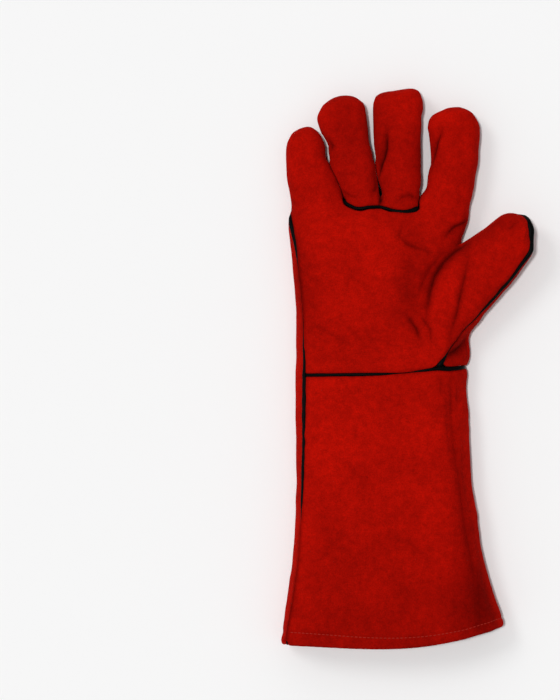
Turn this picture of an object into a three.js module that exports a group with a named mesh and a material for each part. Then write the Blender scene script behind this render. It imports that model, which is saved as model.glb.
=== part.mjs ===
// Leather welding gauntlet for the right hand, empty, lying on its back with the palm up.
// Millimetres. +X is the thumb's side, +Y the fingertips, +Z up out of the palm; it rests on Z = 0.
//
// The outer surface is one grid of four-sided cells: rings round the cuff and the hand, which branch
// into a ring for each finger and for the thumb. Each leather panel is a patch of that grid, given
// its wall inwards. The seams run along grid lines, and a welt fills the gap between two panels.
import * as THREE from 'three';

// Driving sizes
const LEATHER = 2.0;
const HEM_LEATHER = 3.6;
// A welt is sunk in its seam by depth; its sides reach shoulder above the leather, its ridge proud
const WELT = { width: 2.0, proud: 0.7, shoulder: 0.1, depth: 1.7 };
const THUMB_WELT = { width: 2.8, proud: 1.2, shoulder: 0.1, depth: 1.7 };
const CLEARANCE = 0.3;
// How far each welt's ends stop short of the seam that they meet
const WELT_END = 1.9;
const THUMB_WELT_TRIM = { start: 3.0, end: 3.6 };

// Rows of the grid, counted from the hem
const HEM_TOP_ROW = 1;
const WRIST_ROW = 18;
const THUMB_CROTCH_ROW = 26;
const WEB_ROW = 30;

// Columns of a ring round the hand: from the little-finger seam over the palm side to the thumb's
// side, then back along the underside
const PALM_COLUMNS = 16;
const FINGER_COLUMNS = 4;
const SEAM_COLUMN = 0;
const TOP_FIRST = 2;
const TOP_LAST = TOP_FIRST + PALM_COLUMNS;
const THUMB_SIDE = TOP_LAST + 2;
const UNDER_FIRST = TOP_LAST + 4;
const UNDER_LAST = UNDER_FIRST + PALM_COLUMNS;
const RING = UNDER_LAST + 2;

// Roundness of the sections: 2 is an ellipse, more is boxier
const TOP_POWER = 3.0;
const UNDER_POWER = 4.0;
const FINGER_POWER = 2.3;

// The hem's lowest point lies past the middle, towards the thumb's side
const SAG_SKEW = 1.3;

// Places across a section, as shares of its width from the little finger's end. topStart lies past
// the little-finger seam, besideEdge is the share of the way from an edge to the next column, and the
// thumb's side has its own places where the closing seam runs along it.
const ACROSS = {
  topStart: 0.065,
  baseStart: 0.075,
  underStart: 0.022,
  underEnd: 0.94,
  underThumbEdge: 0.985,
  besideEdge: 0.35,
  littleEdge: 0.006,
};
const THUMB_SIDE_SEAM = { top: 0.994, seam: 0.997, under: 0.975 };
// The little finger's edge is sharp once its seam is this near to it
const EDGE_SEAM = 4;

// Turns rows of values into objects keyed by the columns' names
function table(names, rows) {
  return rows.map((row) => Object.fromEntries(names.map((name, i) => [name, row[i]])));
}

// Sections of the cuff and the hand. little and thumb are the section's two ends, sag is how far its
// middle bows towards the hem, low, mid and high are heights, seam is how far the little-finger seam
// lies in on the palm side, and corner is the share of the width where the thumb's side turns down.
const HAND_SECTIONS = table(
  ['row', 'littleX', 'littleY', 'thumbX', 'thumbY', 'sag', 'low', 'mid', 'high', 'seam', 'corner'],
  [
    [0, -91.2, -201.4, 68.8, -187.6, 9.1, -1.5, 17, 40, 3.2, 0.93],
    [1, -90.6, -191.9, 66.9, -178.1, 9.1, -1.5, 17, 39.7, 3.5, 0.93],
    [2, -90.4, -190.3, 66.5, -176.7, 8.9, -1.5, 17, 39.6, 3.5, 0.93],
    [6, -86.1, -150.1, 57.1, -145.0, 5.1, -1.5, 16, 38, 5.0, 0.93],
    [10, -82.3, -102.9, 48.7, -100.7, 2.2, -1.5, 15, 36, 4.5, 0.93],
    [14, -81.4, -52.7, 44.7, -49.8, 1.5, -1.5, 14, 34, 5.6, 0.91],
    [18, -81.4, -5.1, 41.8, 1.1, 2.2, -1.5, 13, 32, 6.2, 0.83],
    [22, -81.4, 43.3, 40.7, 46.2, 0, -1.5, 13, 32, 5.5, 0.893],
    [26, -84.7, 85.4, 38.5, 90.9, 0, -1.5, 13, 31, 3.8, 0.947],
    [28, -86.7, 101.4, 40.6, 103.6, 0, -1.2, 13, 30, 3.2, 0.945],
    [29, -86.5, 109.0, 41.4, 110.9, 0, -0.8, 13.2, 29, 1.5, 0.94],
    [30, -84.5, 116.0, 42.2, 118.1, 0, 0, 13.5, 28, 0, 0.94],
  ],
);

// Crotches between the fingers, from the little finger to the index: the place seen from above, how
// far back the fingers' base runs there, and how far that base dips before the next crotch
const CROTCHES = [
  { x: -46.5, y: 124.7, baseX: -45.9, baseY: 120.0, dip: 2.3 },
  { x: -19.3, y: 123.2, baseX: -19.6, baseY: 117.0, dip: 2.8 },
  { x: 8.7, y: 122.5, baseX: 8.4, baseY: 117.4, dip: 0 },
];
const BASE_END_Y = { little: 117.0, thumb: 118.1 };
const VALLEY = { depth: 4.5, width: 8, firstRow: 24 };

// Fingers. Each section gives both edges of the finger seen from above and its heights; the tip is
// the far point of the rounded end, and square is how boxy that end is.
const FINGER_COLUMN_NAMES = ['row', 'leftX', 'leftY', 'rightX', 'rightY', 'low', 'high'];
const FINGERS = [
  {
    name: 'little',
    sections: table(FINGER_COLUMN_NAMES, [
      [1, -85.5, 125.0, -49.2, 131.0, 1.0, 27.0],
      [3, -88.2, 143.0, -56.9, 146.5, 2.0, 26.5],
      [5, -87.3, 163.5, -62.4, 164.0, 4.5, 25.0],
    ]),
    tip: { x: -73.4, y: 175.9, square: 2.1 },
  },
  {
    name: 'ring',
    sections: table(FINGER_COLUMN_NAMES, [
      [1, -45.2, 131.0, -21.8, 129.8, 1.5, 28.5],
      [3, -53.0, 146.0, -25.3, 145.5, 2.5, 28.5],
      [5, -59.2, 163.0, -28.4, 162.5, 3.5, 27.5],
      [7, -65.7, 181.5, -30.9, 182.8, 5.0, 26.0],
    ]),
    tip: { x: -45.8, y: 198.8, square: 2.2 },
  },
  {
    name: 'middle',
    sections: table(FINGER_COLUMN_NAMES, [
      [1, -18.6, 130.0, 6.6, 130.0, 1.5, 28.5],
      [3, -22.4, 147.0, 7.2, 147.0, 2.0, 28.5],
      [6, -25.3, 173.0, 8.0, 173.0, 3.0, 27.5],
      [8, -25.7, 191.5, 10.6, 192.3, 4.5, 26.0],
    ]),
    tip: { x: -7.0, y: 203.4, square: 3.6 },
  },
  {
    name: 'index',
    sections: table(FINGER_COLUMN_NAMES, [
      [1, 11.4, 130.0, 45.5, 127.5, 1.5, 28.5],
      [3, 16.0, 147.0, 49.0, 145.5, 2.5, 28.5],
      [5, 16.0, 164.0, 50.7, 163.5, 3.5, 28.0],
      [7, 15.3, 178.5, 51.0, 179.0, 5.0, 26.5],
    ]),
    tip: { x: 34.2, y: 190.3, square: 2.0 },
  },
];

// How far the side seams of the fingers, and of the thumb's inner edge, turn towards the back
const SEAM_TUCK = THREE.MathUtils.degToRad(28);

// Thumb, from the palm to its tip. Left is its edge towards the index finger, right its outer edge,
// and seam is where the thumb's welt runs on the upper side.
const THUMB_SECTIONS = table(
  ['row', 'leftX', 'leftY', 'rightX', 'rightY', 'seamX', 'seamY', 'seamZ', 'low', 'mid', 'high'],
  [
    [1, 42.2, 93.8, 44.9, 12.7, 27.6, 9.8, 29.0, -0.5, 14.0, 33.0],
    [2, 46.5, 97.1, 45.1, 23.6, 34.9, 19.3, 27.5, 0.5, 15.0, 35.0],
    [3, 51.6, 100.3, 51.6, 33.1, 44.3, 30.2, 26.5, 2.0, 17.0, 36.5],
    [5, 61.8, 106.9, 74.9, 61.4, 70.5, 60.0, 29.2, 9.0, 22.5, 38.5],
    [6, 67.2, 110.9, 88.0, 81.1, 84.0, 79.4, 31.8, 12.5, 25.5, 39.0],
  ],
);
const THUMB_TIP = { x: 89.8, y: 104.5, square: 2.2 };

// Rounded ends of the fingers and the thumb: rows between the last section and the seam over the
// tip, with the angle at which each starts at the edge and how far its middle reaches
const END_ROWS = [
  { edge: THREE.MathUtils.degToRad(15), reach: 0.52 },
  { edge: THREE.MathUtils.degToRad(30), reach: 0.87 },
];
const TIP_SEAM_EDGE = THREE.MathUtils.degToRad(45);
// The seam beside and over the tip: its share of the way out, and of the thickness there. The front
// panel's end bulges a little past the seam, to the tip's own reach.
const SIDE_SEAM = { out: 0.92, depth: 0.47 };
const TIP_SEAM = { out: 0.94, depth: 0.42 };
const TIP_REACH = 0.955;
// Draws the underside's points in from the side seams; 1 leaves them evenly round the end
const UNDER_SPREAD = 1.6;

// Main folds of the palm side, each pressed in along a line seen from above
const FOLDS = [
  { along: [[38.5, 91.2], [23.3, 78.2], [16.0, 57.8], [13.1, 41.8]], depth: 4.5, width: 6 },
  { along: [[42.2, 73.1], [37.1, 49.8], [32.0, 27.3]], depth: 2.5, width: 5 },
  { along: [[41.4, 106.5], [28.4, 98.5]], depth: 2.5, width: 5 },
  { along: [[-6.5, 99.2], [17.4, 85.4]], depth: 2.0, width: 5 },
  { along: [[1.5, 32.4], [10.2, 18.5]], depth: 1.5, width: 5 },
  { along: [[-15.3, 170.5], [-21.8, 142.1]], depth: 1.5, width: 4 },
  { along: [[24.0, 171.2], [16.7, 151.6]], depth: 2.0, width: 4 },
  { along: [[32.0, -5.5], [33.4, -52], [40, -110], [48, -168]], depth: 2.5, width: 9 },
];

// Values between the rows of a table, on a smooth curve through them
function between(table, row) {
  const last = table.length - 1;
  let i = table.findIndex((entry) => entry.row > row) - 1;
  if (i < 0) {
    i = row >= table[last].row ? last - 1 : 0;
  }
  const a = table[i];
  const b = table[i + 1];
  const span = b.row - a.row;
  const t = (row - a.row) / span;
  const before = table[Math.max(i - 1, 0)];
  const after = table[Math.min(i + 2, last)];
  const values = {};
  for (const key of Object.keys(a)) {
    const slopeA = ((b[key] - before[key]) / (b.row - before.row)) * span;
    const slopeB = ((after[key] - a[key]) / (after.row - a.row)) * span;
    const t2 = t * t;
    const t3 = t2 * t;
    values[key] = (2 * t3 - 3 * t2 + 1) * a[key] + (t3 - 2 * t2 + t) * slopeA
      + (3 * t2 - 2 * t3) * b[key] + (t3 - t2) * slopeB;
  }
  return values;
}

const lerp = THREE.MathUtils.lerp;
const smoothstep = THREE.MathUtils.smoothstep;
const signedPower = (value, power) => Math.sign(value) * Math.abs(value) ** power;

// Height of a section's arch at a share of its width, from 0 at both ends to 1 in the middle
function arch(share, power) {
  const fromMiddle = Math.min(1, Math.abs(2 * share - 1));
  return (1 - fromMiddle ** power) ** (1 / power);
}

function distanceToSegment(x, y, [ax, ay], [bx, by]) {
  const dx = bx - ax;
  const dy = by - ay;
  const t = THREE.MathUtils.clamp(((x - ax) * dx + (y - ay) * dy) / (dx * dx + dy * dy), 0, 1);
  return Math.hypot(x - ax - t * dx, y - ay - t * dy);
}

function foldDepth(x, y) {
  let depth = 0;
  for (const fold of FOLDS) {
    let nearest = Infinity;
    for (let i = 0; i + 1 < fold.along.length; i += 1) {
      nearest = Math.min(nearest, distanceToSegment(x, y, fold.along[i], fold.along[i + 1]));
    }
    depth += fold.depth * Math.exp(-((nearest / fold.width) ** 2));
  }
  return depth;
}

// The grid: points of the outer surface, and for each panel its cells
const points = [];
const cells = { back: [], palm: [], middle_fingers_front: [], thumb_back: [], cuff_front: [] };

// Adds a point; upper is 1 on top of the palm side, where the folds are at full depth, and 0 elsewhere
function addPoint(x, y, z, upper, wall = LEATHER) {
  const height = z - upper * foldDepth(x, y);
  points.push({ position: new THREE.Vector3(x, y, Math.max(height, 0)), normal: new THREE.Vector3(), wall });
  return points.length - 1;
}

// Fills the strip between two rings, or parts of rings, with cells; first to last are column numbers
function addStrip(panel, ringA, ringB, first, last) {
  for (let column = first; column < last; column += 1) {
    const next = column + 1;
    const a = ringA[column % ringA.length];
    const b = ringA[next % ringA.length];
    const c = ringB[next % ringB.length];
    const d = ringB[column % ringB.length];
    cells[panel].push([a, b, c, d]);
  }
}

// Share of the hand's width at each column of the palm side's 16, at the fingers' base
function baseShares(section) {
  const width = section.thumbX - section.littleX;
  const marks = [
    ACROSS.baseStart,
    ...CROTCHES.map((crotch) => (crotch.baseX - section.littleX) / width),
    section.corner,
  ];
  const shares = [];
  for (let j = 0; j <= PALM_COLUMNS; j += 1) {
    const finger = Math.min(Math.floor(j / FINGER_COLUMNS), FINGERS.length - 1);
    shares.push(lerp(marks[finger], marks[finger + 1], j / FINGER_COLUMNS - finger));
  }
  return shares;
}

// Place along Y of the fingers' base at each of the 16 columns
function baseY(j) {
  const marks = [BASE_END_Y.little, ...CROTCHES.map((crotch) => crotch.baseY), BASE_END_Y.thumb];
  const dips = [0, ...CROTCHES.map((crotch) => crotch.dip)];
  const finger = Math.min(Math.floor(j / FINGER_COLUMNS), FINGERS.length - 1);
  const t = j / FINGER_COLUMNS - finger;
  return lerp(marks[finger], marks[finger + 1], t) - dips[finger] * Math.sin(Math.PI * t);
}

const webShares = baseShares(HAND_SECTIONS[HAND_SECTIONS.length - 1]);

// One ring round the cuff or the hand
function handRing(row) {
  const section = between(HAND_SECTIONS, row);
  const width = section.thumbX - section.littleX;
  const seamShare = section.seam / width;
  const nearBase = smoothstep(row, VALLEY.firstRow, WEB_ROW);
  const wall = row <= HEM_TOP_ROW ? HEM_LEATHER : LEATHER;

  const place = (share, isTop, column) => {
    const x = lerp(section.littleX, section.thumbX, share);
    const sag = section.sag * Math.sin(Math.PI * share ** SAG_SKEW);
    let y = lerp(section.littleY, section.thumbY, share) - sag;
    if (column !== null) {
      y = lerp(y, baseY(column), nearBase ** 2);
    }
    let valley = 0;
    for (const crotch of CROTCHES) {
      valley += VALLEY.depth * nearBase * Math.exp(-(((x - crotch.baseX) / VALLEY.width) ** 2));
    }
    if (isTop) {
      const rise = arch(share, TOP_POWER);
      return addPoint(x, y, section.mid + (section.high - section.mid) * rise - valley, rise, wall);
    }
    const fall = arch(share, UNDER_POWER);
    return addPoint(x, y, section.mid - (section.mid - section.low) * fall + valley, 0, wall);
  };

  const topStart = seamShare + ACROSS.topStart;
  const top = [];
  const under = [];
  for (let j = 0; j <= PALM_COLUMNS; j += 1) {
    const t = j / PALM_COLUMNS;
    const topShare = lerp(topStart, section.corner, t);
    top.push(place(lerp(topShare, webShares[j], nearBase), true, j));
    const underShare = lerp(ACROSS.underStart, ACROSS.underEnd, t);
    under.push(place(lerp(underShare, webShares[j], nearBase), false, j));
  }
  const firstTop = lerp(topStart, webShares[0], nearBase);
  const seamPoint = place(seamShare, true, null);
  const besideSeam = place(lerp(seamShare, firstTop, ACROSS.besideEdge), true, null);
  const hasSideSeam = row >= THUMB_CROTCH_ROW;
  const thumbTop = hasSideSeam
    ? place(THUMB_SIDE_SEAM.top, true, null)
    : place(lerp(1, section.corner, ACROSS.besideEdge), true, null);
  const thumbEdge = hasSideSeam ? place(THUMB_SIDE_SEAM.seam, false, null) : place(1, true, null);
  const thumbUnder = place(hasSideSeam ? THUMB_SIDE_SEAM.under : ACROSS.underThumbEdge, false, null);
  const seamIn = Math.min(1, section.seam / EDGE_SEAM);
  const littleEdge = place(ACROSS.littleEdge * (1 - seamIn), false, null);
  return [seamPoint, besideSeam, ...top, thumbTop, thumbEdge, thumbUnder, ...under.reverse(), littleEdge];
}

const handRings = [];
for (let row = 0; row <= WEB_ROW; row += 1) {
  handRings.push(handRing(row));
}
// Points of a crotch between two fingers, from the palm side round to the back
const webRing = handRings[WEB_ROW];
const crotchPoints = CROTCHES.map((crotch, k) => {
  const j = FINGER_COLUMNS * (k + 1);
  const top = points[webRing[TOP_FIRST + j]].position;
  const under = points[webRing[UNDER_LAST - j]].position;
  return [45, 0, -45].map((degrees) => {
    const angle = THREE.MathUtils.degToRad(degrees);
    const height = (top.z + under.z) / 2 + ((top.z - under.z) / 2) * Math.sin(angle);
    const x = lerp(top.x, crotch.x, Math.cos(angle));
    return addPoint(x, lerp(top.y, crotch.y, Math.cos(angle)), height, 0);
  });
});

// A ring round a finger or the thumb, from its left seam over the top and back along the underside;
// half is the number of cells on each side of the seams, and tuck turns the seams towards the back
function fingerRing(section, half, tuck) {
  const mid = section.mid ?? (section.low + section.high) / 2;
  const ring = [];
  for (let i = 0; i < 2 * half; i += 1) {
    const overTop = i <= half;
    const angle = overTop
      ? lerp(Math.PI + tuck.left, -tuck.right, i / half)
      : lerp(-tuck.right, tuck.left - Math.PI, (i - half) / half);
    const share = (1 + signedPower(Math.cos(angle), 2 / FINGER_POWER)) / 2;
    const rise = signedPower(Math.sin(angle), 2 / FINGER_POWER);
    const reach = rise > 0 ? section.high - mid : mid - section.low;
    ring.push({
      x: lerp(section.leftX, section.rightX, share),
      y: lerp(section.leftY, section.rightY, share),
      z: mid + reach * rise,
      upper: Math.max(0, rise),
    });
  }
  return ring;
}

// Rounded end beyond the last section: rings that close in, then the seam over the tip. seamSide says
// whether the seam lies under the left and the right edge (-1) or on the palm side of them (1).
function roundedEnd(section, tip, half, seamSide) {
  const mid = section.mid ?? (section.low + section.high) / 2;
  const centre = { x: (section.leftX + section.rightX) / 2, y: (section.leftY + section.rightY) / 2 };
  const across = { x: (section.rightX - section.leftX) / 2, y: (section.rightY - section.leftY) / 2 };
  const ahead = { x: (tip.x - centre.x) / TIP_REACH, y: (tip.y - centre.y) / TIP_REACH };
  const place = (sideways, forwards, rise) => ({
    x: centre.x + across.x * sideways + ahead.x * forwards,
    y: centre.y + across.y * sideways + ahead.y * forwards,
    z: mid + rise * (rise > 0 ? section.high - mid : mid - section.low),
    upper: Math.max(0, rise),
  });
  const thickness = (sideways, forwards) => {
    const out = (Math.abs(sideways) ** tip.square + Math.abs(forwards) ** tip.square) ** (1 / tip.square);
    return Math.max(0, 1 - Math.min(1, out) ** FINGER_POWER) ** (1 / FINGER_POWER);
  };
  const placeOnSeam = (sideways, forwards, level, { out, depth }) => {
    const share = lerp(1, out, Math.abs(level));
    return place(sideways * share, forwards * share, level * depth);
  };
  const rings = END_ROWS.map(({ edge, reach }) => {
    const edgeAcross = Math.cos(edge) ** (2 / tip.square);
    const edgeAhead = Math.sin(edge) ** (2 / tip.square);
    const ring = [];
    for (let i = 0; i < 2 * half; i += 1) {
      const side = i <= half ? 1 : -1;
      const t = i <= half ? i / half : 2 - i / half;
      const sideways = signedPower(-Math.cos(Math.PI * t), side > 0 ? 1 : UNDER_SPREAD);
      const forwards = edgeAhead + (reach - edgeAhead) * (1 - sideways ** 2);
      const x = sideways * edgeAcross;
      const underSeam = Math.abs(lerp(seamSide.left, Math.min(0, seamSide.right), t));
      if (i === 0) {
        ring.push(placeOnSeam(-edgeAcross, edgeAhead, seamSide.left, SIDE_SEAM));
      } else if (i === half) {
        ring.push(placeOnSeam(edgeAcross, edgeAhead, Math.min(0, seamSide.right), SIDE_SEAM));
      } else if (side > 0) {
        ring.push(place(x, forwards, thickness(x, forwards)));
      } else {
        const within = lerp(1, SIDE_SEAM.out, underSeam);
        const level = lerp(SIDE_SEAM.depth * underSeam, 1, thickness(x, forwards));
        ring.push(place(x * within, forwards * within, -level));
      }
    }
    return ring;
  });
  const seam = [];
  for (let i = 0; i <= half; i += 1) {
    const angle = lerp(Math.PI - TIP_SEAM_EDGE, TIP_SEAM_EDGE, i / half);
    const sideways = signedPower(Math.cos(angle), 2 / tip.square);
    const level = lerp(seamSide.left, seamSide.right, smoothstep(i, 0, half / 2));
    seam.push(placeOnSeam(sideways, Math.sin(angle) ** (2 / tip.square), level, TIP_SEAM));
  }
  return { rings, seam };
}

const addAll = (list) => list.map((p) => addPoint(p.x, p.y, p.z, p.upper));

// Builds a finger or the thumb from its first ring to its tip. frontColumns is how many columns the
// front panel takes, from the left seam. Returns its rings and the seam over its tip.
function growDigit({ firstRing, rings, end, half, front, back, frontColumns }) {
  const all = [firstRing, ...rings.map(addAll), ...end.rings.map(addAll)];
  const seam = addAll(end.seam);
  for (let i = 0; i + 1 < all.length; i += 1) {
    addStrip(front, all[i], all[i + 1], 0, frontColumns);
    addStrip(back, all[i], all[i + 1], frontColumns, 2 * half);
  }
  const last = all[all.length - 1];
  for (let i = 0; i < half; i += 1) {
    const panel = i < frontColumns ? front : back;
    cells[panel].push([last[i], last[i + 1], seam[i + 1], seam[i]]);
    const under = [last[half + i], last[(half + i + 1) % (2 * half)]];
    cells[back].push([under[0], under[1], seam[half - i - 1], seam[half - i]]);
  }
  return { rings: all, seam };
}

// Cells on each side of a finger's side seams: its own columns and two at each crotch
const fingerHalf = FINGER_COLUMNS + 4;
const fingers = FINGERS.map((finger, k) => {
  const half = fingerHalf;
  const j = FINGER_COLUMNS * k;
  const isLast = k === FINGERS.length - 1;
  const left = k === 0 ? [webRing[1], webRing[SEAM_COLUMN], webRing[RING - 1]] : crotchPoints[k - 1];
  const right = isLast ? [TOP_LAST + 1, THUMB_SIDE, THUMB_SIDE + 1].map((c) => webRing[c]) : crotchPoints[k];
  const firstRing = [
    left[1],
    left[0],
    ...webRing.slice(TOP_FIRST + j, TOP_FIRST + j + FINGER_COLUMNS + 1),
    ...right,
    ...webRing.slice(UNDER_LAST - j - FINGER_COLUMNS, UNDER_LAST - j + 1),
    left[2],
  ];
  const lastSection = finger.sections[finger.sections.length - 1];
  const rings = [];
  for (let row = 1; row <= lastSection.row; row += 1) {
    const tuck = SEAM_TUCK * smoothstep(row, 0, 3);
    rings.push(fingerRing(between(finger.sections, row), half, { left: tuck, right: tuck }));
  }
  const isInset = k === 1 || k === 2;
  return growDigit({
    firstRing,
    rings,
    end: roundedEnd(lastSection, finger.tip, half, { left: -1, right: -1 }),
    half,
    front: isInset ? 'middle_fingers_front' : 'palm',
    back: 'back',
    frontColumns: half,
  });
});

// The thumb grows from the open side of the hand between the wrist and the thumb's crotch
const thumbRows = handRings.slice(WRIST_ROW, THUMB_CROTCH_ROW + 1);
const crotchRing = handRings[THUMB_CROTCH_ROW];
const wristRing = handRings[WRIST_ROW];
const thumbHalf = THUMB_CROTCH_ROW - WRIST_ROW + 4;
const thumbSeamColumn = thumbHalf - 2;

// The thumb's ring is drawn towards its seam; its height follows only close to it
const SEAM_LIFT_POWER = 3;
function thumbRing(row) {
  const section = between(THUMB_SECTIONS, row);
  const ring = fingerRing(section, thumbHalf, { left: SEAM_TUCK, right: 0 });
  const at = ring[thumbSeamColumn];
  const shift = { x: section.seamX - at.x, y: section.seamY - at.y, z: section.seamZ - at.z };
  for (let i = 1; i < thumbHalf; i += 1) {
    const pull = i <= thumbSeamColumn
      ? i / thumbSeamColumn
      : (thumbHalf - i) / (thumbHalf - thumbSeamColumn);
    ring[i].x += shift.x * pull;
    ring[i].y += shift.y * pull;
    ring[i].z += shift.z * pull ** SEAM_LIFT_POWER;
  }
  return ring;
}

const thumbLast = THUMB_SECTIONS[THUMB_SECTIONS.length - 1];
const thumbRings = [];
for (let row = 1; row <= thumbLast.row; row += 1) {
  thumbRings.push(thumbRing(row));
}
const thumb = growDigit({
  firstRing: [
    crotchRing[THUMB_SIDE],
    crotchRing[THUMB_SIDE - 1],
    ...thumbRows.map((ring) => ring[TOP_LAST]).reverse(),
    wristRing[THUMB_SIDE - 1],
    wristRing[THUMB_SIDE],
    wristRing[THUMB_SIDE + 1],
    ...thumbRows.map((ring) => ring[UNDER_FIRST]),
    crotchRing[THUMB_SIDE + 1],
  ],
  rings: thumbRings,
  end: roundedEnd(thumbLast, THUMB_TIP, thumbHalf, { left: -1, right: 1 }),
  half: thumbHalf,
  front: 'palm',
  back: 'thumb_back',
  frontColumns: thumbSeamColumn,
});

// The cuff and the hand
for (let row = 0; row < WEB_ROW; row += 1) {
  const [lower, upper] = [handRings[row], handRings[row + 1]];
  if (row < WRIST_ROW) {
    addStrip('cuff_front', lower, upper, SEAM_COLUMN, UNDER_FIRST);
    addStrip('back', lower, upper, UNDER_FIRST, RING);
  } else if (row < THUMB_CROTCH_ROW) {
    addStrip('palm', lower, upper, SEAM_COLUMN, TOP_LAST);
    addStrip('back', lower, upper, UNDER_FIRST, RING);
  } else {
    addStrip('palm', lower, upper, SEAM_COLUMN, THUMB_SIDE);
    addStrip('back', lower, upper, THUMB_SIDE, RING);
  }
}

// Outward direction at each point, from all the cells round it
for (const [a, b, c, d] of Object.values(cells).flat()) {
  const acrossOne = points[c].position.clone().sub(points[a].position);
  const acrossTwo = points[d].position.clone().sub(points[b].position);
  const facing = acrossOne.cross(acrossTwo);
  for (const index of [a, b, c, d]) {
    points[index].normal.add(facing);
  }
}
for (const point of points) {
  point.normal.normalize();
}

// Seams, each a line of grid points that a welt runs along
const column = (rings, index) => rings.map((ring) => ring[index]);
function roundDigit({ rings, seam }, rightColumn, seamEnd) {
  const up = column(rings.slice(1), 0);
  const down = column(rings.slice(1), rightColumn).reverse();
  return [...up, ...seam.slice(0, seamEnd + 1), ...down];
}
const closingSeam = [
  ...column(handRings, SEAM_COLUMN),
  ...fingers.flatMap((finger, k) => [
    ...roundDigit(finger, fingerHalf, fingerHalf),
    ...(k < CROTCHES.length ? [crotchPoints[k][1]] : []),
  ]),
  ...column(handRings.slice(THUMB_CROTCH_ROW), THUMB_SIDE).reverse(),
  crotchRing[THUMB_SIDE + 1],
  ...column(handRings.slice(0, THUMB_CROTCH_ROW + 1), UNDER_FIRST).reverse(),
];
const thumbSeam = [
  crotchRing[THUMB_SIDE],
  ...roundDigit(thumb, thumbSeamColumn, thumbSeamColumn),
  wristRing[TOP_LAST],
];
const wristSeam = wristRing.slice(SEAM_COLUMN, UNDER_FIRST + 1);
const fingerBaseSeam = [
  crotchPoints[0][1],
  crotchPoints[0][0],
  ...webRing.slice(TOP_FIRST + FINGER_COLUMNS, TOP_FIRST + 3 * FINGER_COLUMNS + 1),
  crotchPoints[2][0],
  crotchPoints[2][1],
];
const BOTH_ENDS = { start: WELT_END, end: WELT_END };
const SEAMS = {
  welt_closing: { path: closingSeam, welt: WELT, trim: { start: 0, end: 0 } },
  welt_thumb: { path: thumbSeam, welt: THUMB_WELT, trim: THUMB_WELT_TRIM },
  welt_wrist: { path: wristSeam, welt: WELT, trim: BOTH_ENDS },
  welt_finger_base: { path: fingerBaseSeam, welt: WELT, trim: BOTH_ENDS },
};
const edgeKey = (a, b) => (a < b ? `${a}|${b}` : `${b}|${a}`);
const seamGap = new Map();
for (const { path, welt } of Object.values(SEAMS)) {
  for (let i = 0; i + 1 < path.length; i += 1) {
    seamGap.set(edgeKey(path[i], path[i + 1]), welt.width / 2 + CLEARANCE);
  }
}

// Sideways direction at a point of a line on the surface, from the line's directions before and
// after it; offsets before and after give how far the moved line lies from the old one. A line that
// bends by less than STRAIGHT, a cosine, counts as straight there, and a sharp corner moves by at
// most CORNER_LIMIT times the offset.
const STRAIGHT = 0.97;
const CORNER_LIMIT = 2.2;
function sideways(normal, before, after, offsetBefore, offsetAfter) {
  const b1 = normal.clone().cross(before).normalize();
  const b2 = normal.clone().cross(after).normalize();
  const cosine = b1.dot(b2);
  if (cosine > STRAIGHT) {
    return b1.add(b2).normalize().multiplyScalar((offsetBefore + offsetAfter) / 2);
  }
  const det = 1 - cosine * cosine;
  const first = (offsetBefore - offsetAfter * cosine) / det;
  const second = (offsetAfter - offsetBefore * cosine) / det;
  const move = b1.multiplyScalar(first).add(b2.multiplyScalar(second));
  return move.clampLength(0, CORNER_LIMIT * Math.max(offsetBefore, offsetAfter));
}

const towards = (from, to) => points[to].position.clone().sub(points[from].position).normalize();

// Makes a mesh from corners and triangles, turned so that its faces point out
function solid(name, corners, triangles, material) {
  let volume = 0;
  for (const [a, b, c] of triangles) {
    volume += corners[a].dot(corners[b].clone().cross(corners[c]));
  }
  const index = triangles.flatMap(([a, b, c]) => (volume > 0 ? [a, b, c] : [a, c, b]));
  const geometry = new THREE.BufferGeometry().setFromPoints(corners);
  geometry.setIndex(index);
  geometry.computeVertexNormals();
  const mesh = new THREE.Mesh(geometry, material);
  mesh.name = name;
  return mesh;
}

// Depth of a panel's wall at each of its points: the leather's, but less where the surface bends so
// tightly that the inner side would fold over itself
const THINNING = { steps: 14, factor: 0.85, leastTurn: 0.25 };
function wallDepths(panel, surface, isOnEdge) {
  const depth = new Map([...surface.keys()].map((index) => [index, points[index].wall]));
  const inner = (index) => {
    const down = points[index].normal.clone().multiplyScalar(-depth.get(index));
    return down.add(surface.get(index));
  };
  const turn = (from, at, to) => to.clone().sub(at).cross(from.clone().sub(at));
  for (let step = 0; step < THINNING.steps; step += 1) {
    const tight = new Set();
    for (const cell of panel) {
      cell.forEach((index, i) => {
        const three = [cell[(i + 3) % 4], index, cell[(i + 1) % 4]];
        const outside = turn(...three.map((k) => surface.get(k)));
        const inside = turn(...three.map(inner));
        if (inside.dot(outside) < THINNING.leastTurn * outside.lengthSq()) {
          cell.filter((k) => !isOnEdge(k)).forEach((k) => tight.add(k));
        }
      });
    }
    for (const index of tight) {
      depth.set(index, depth.get(index) * THINNING.factor);
    }
  }
  return depth;
}

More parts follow.
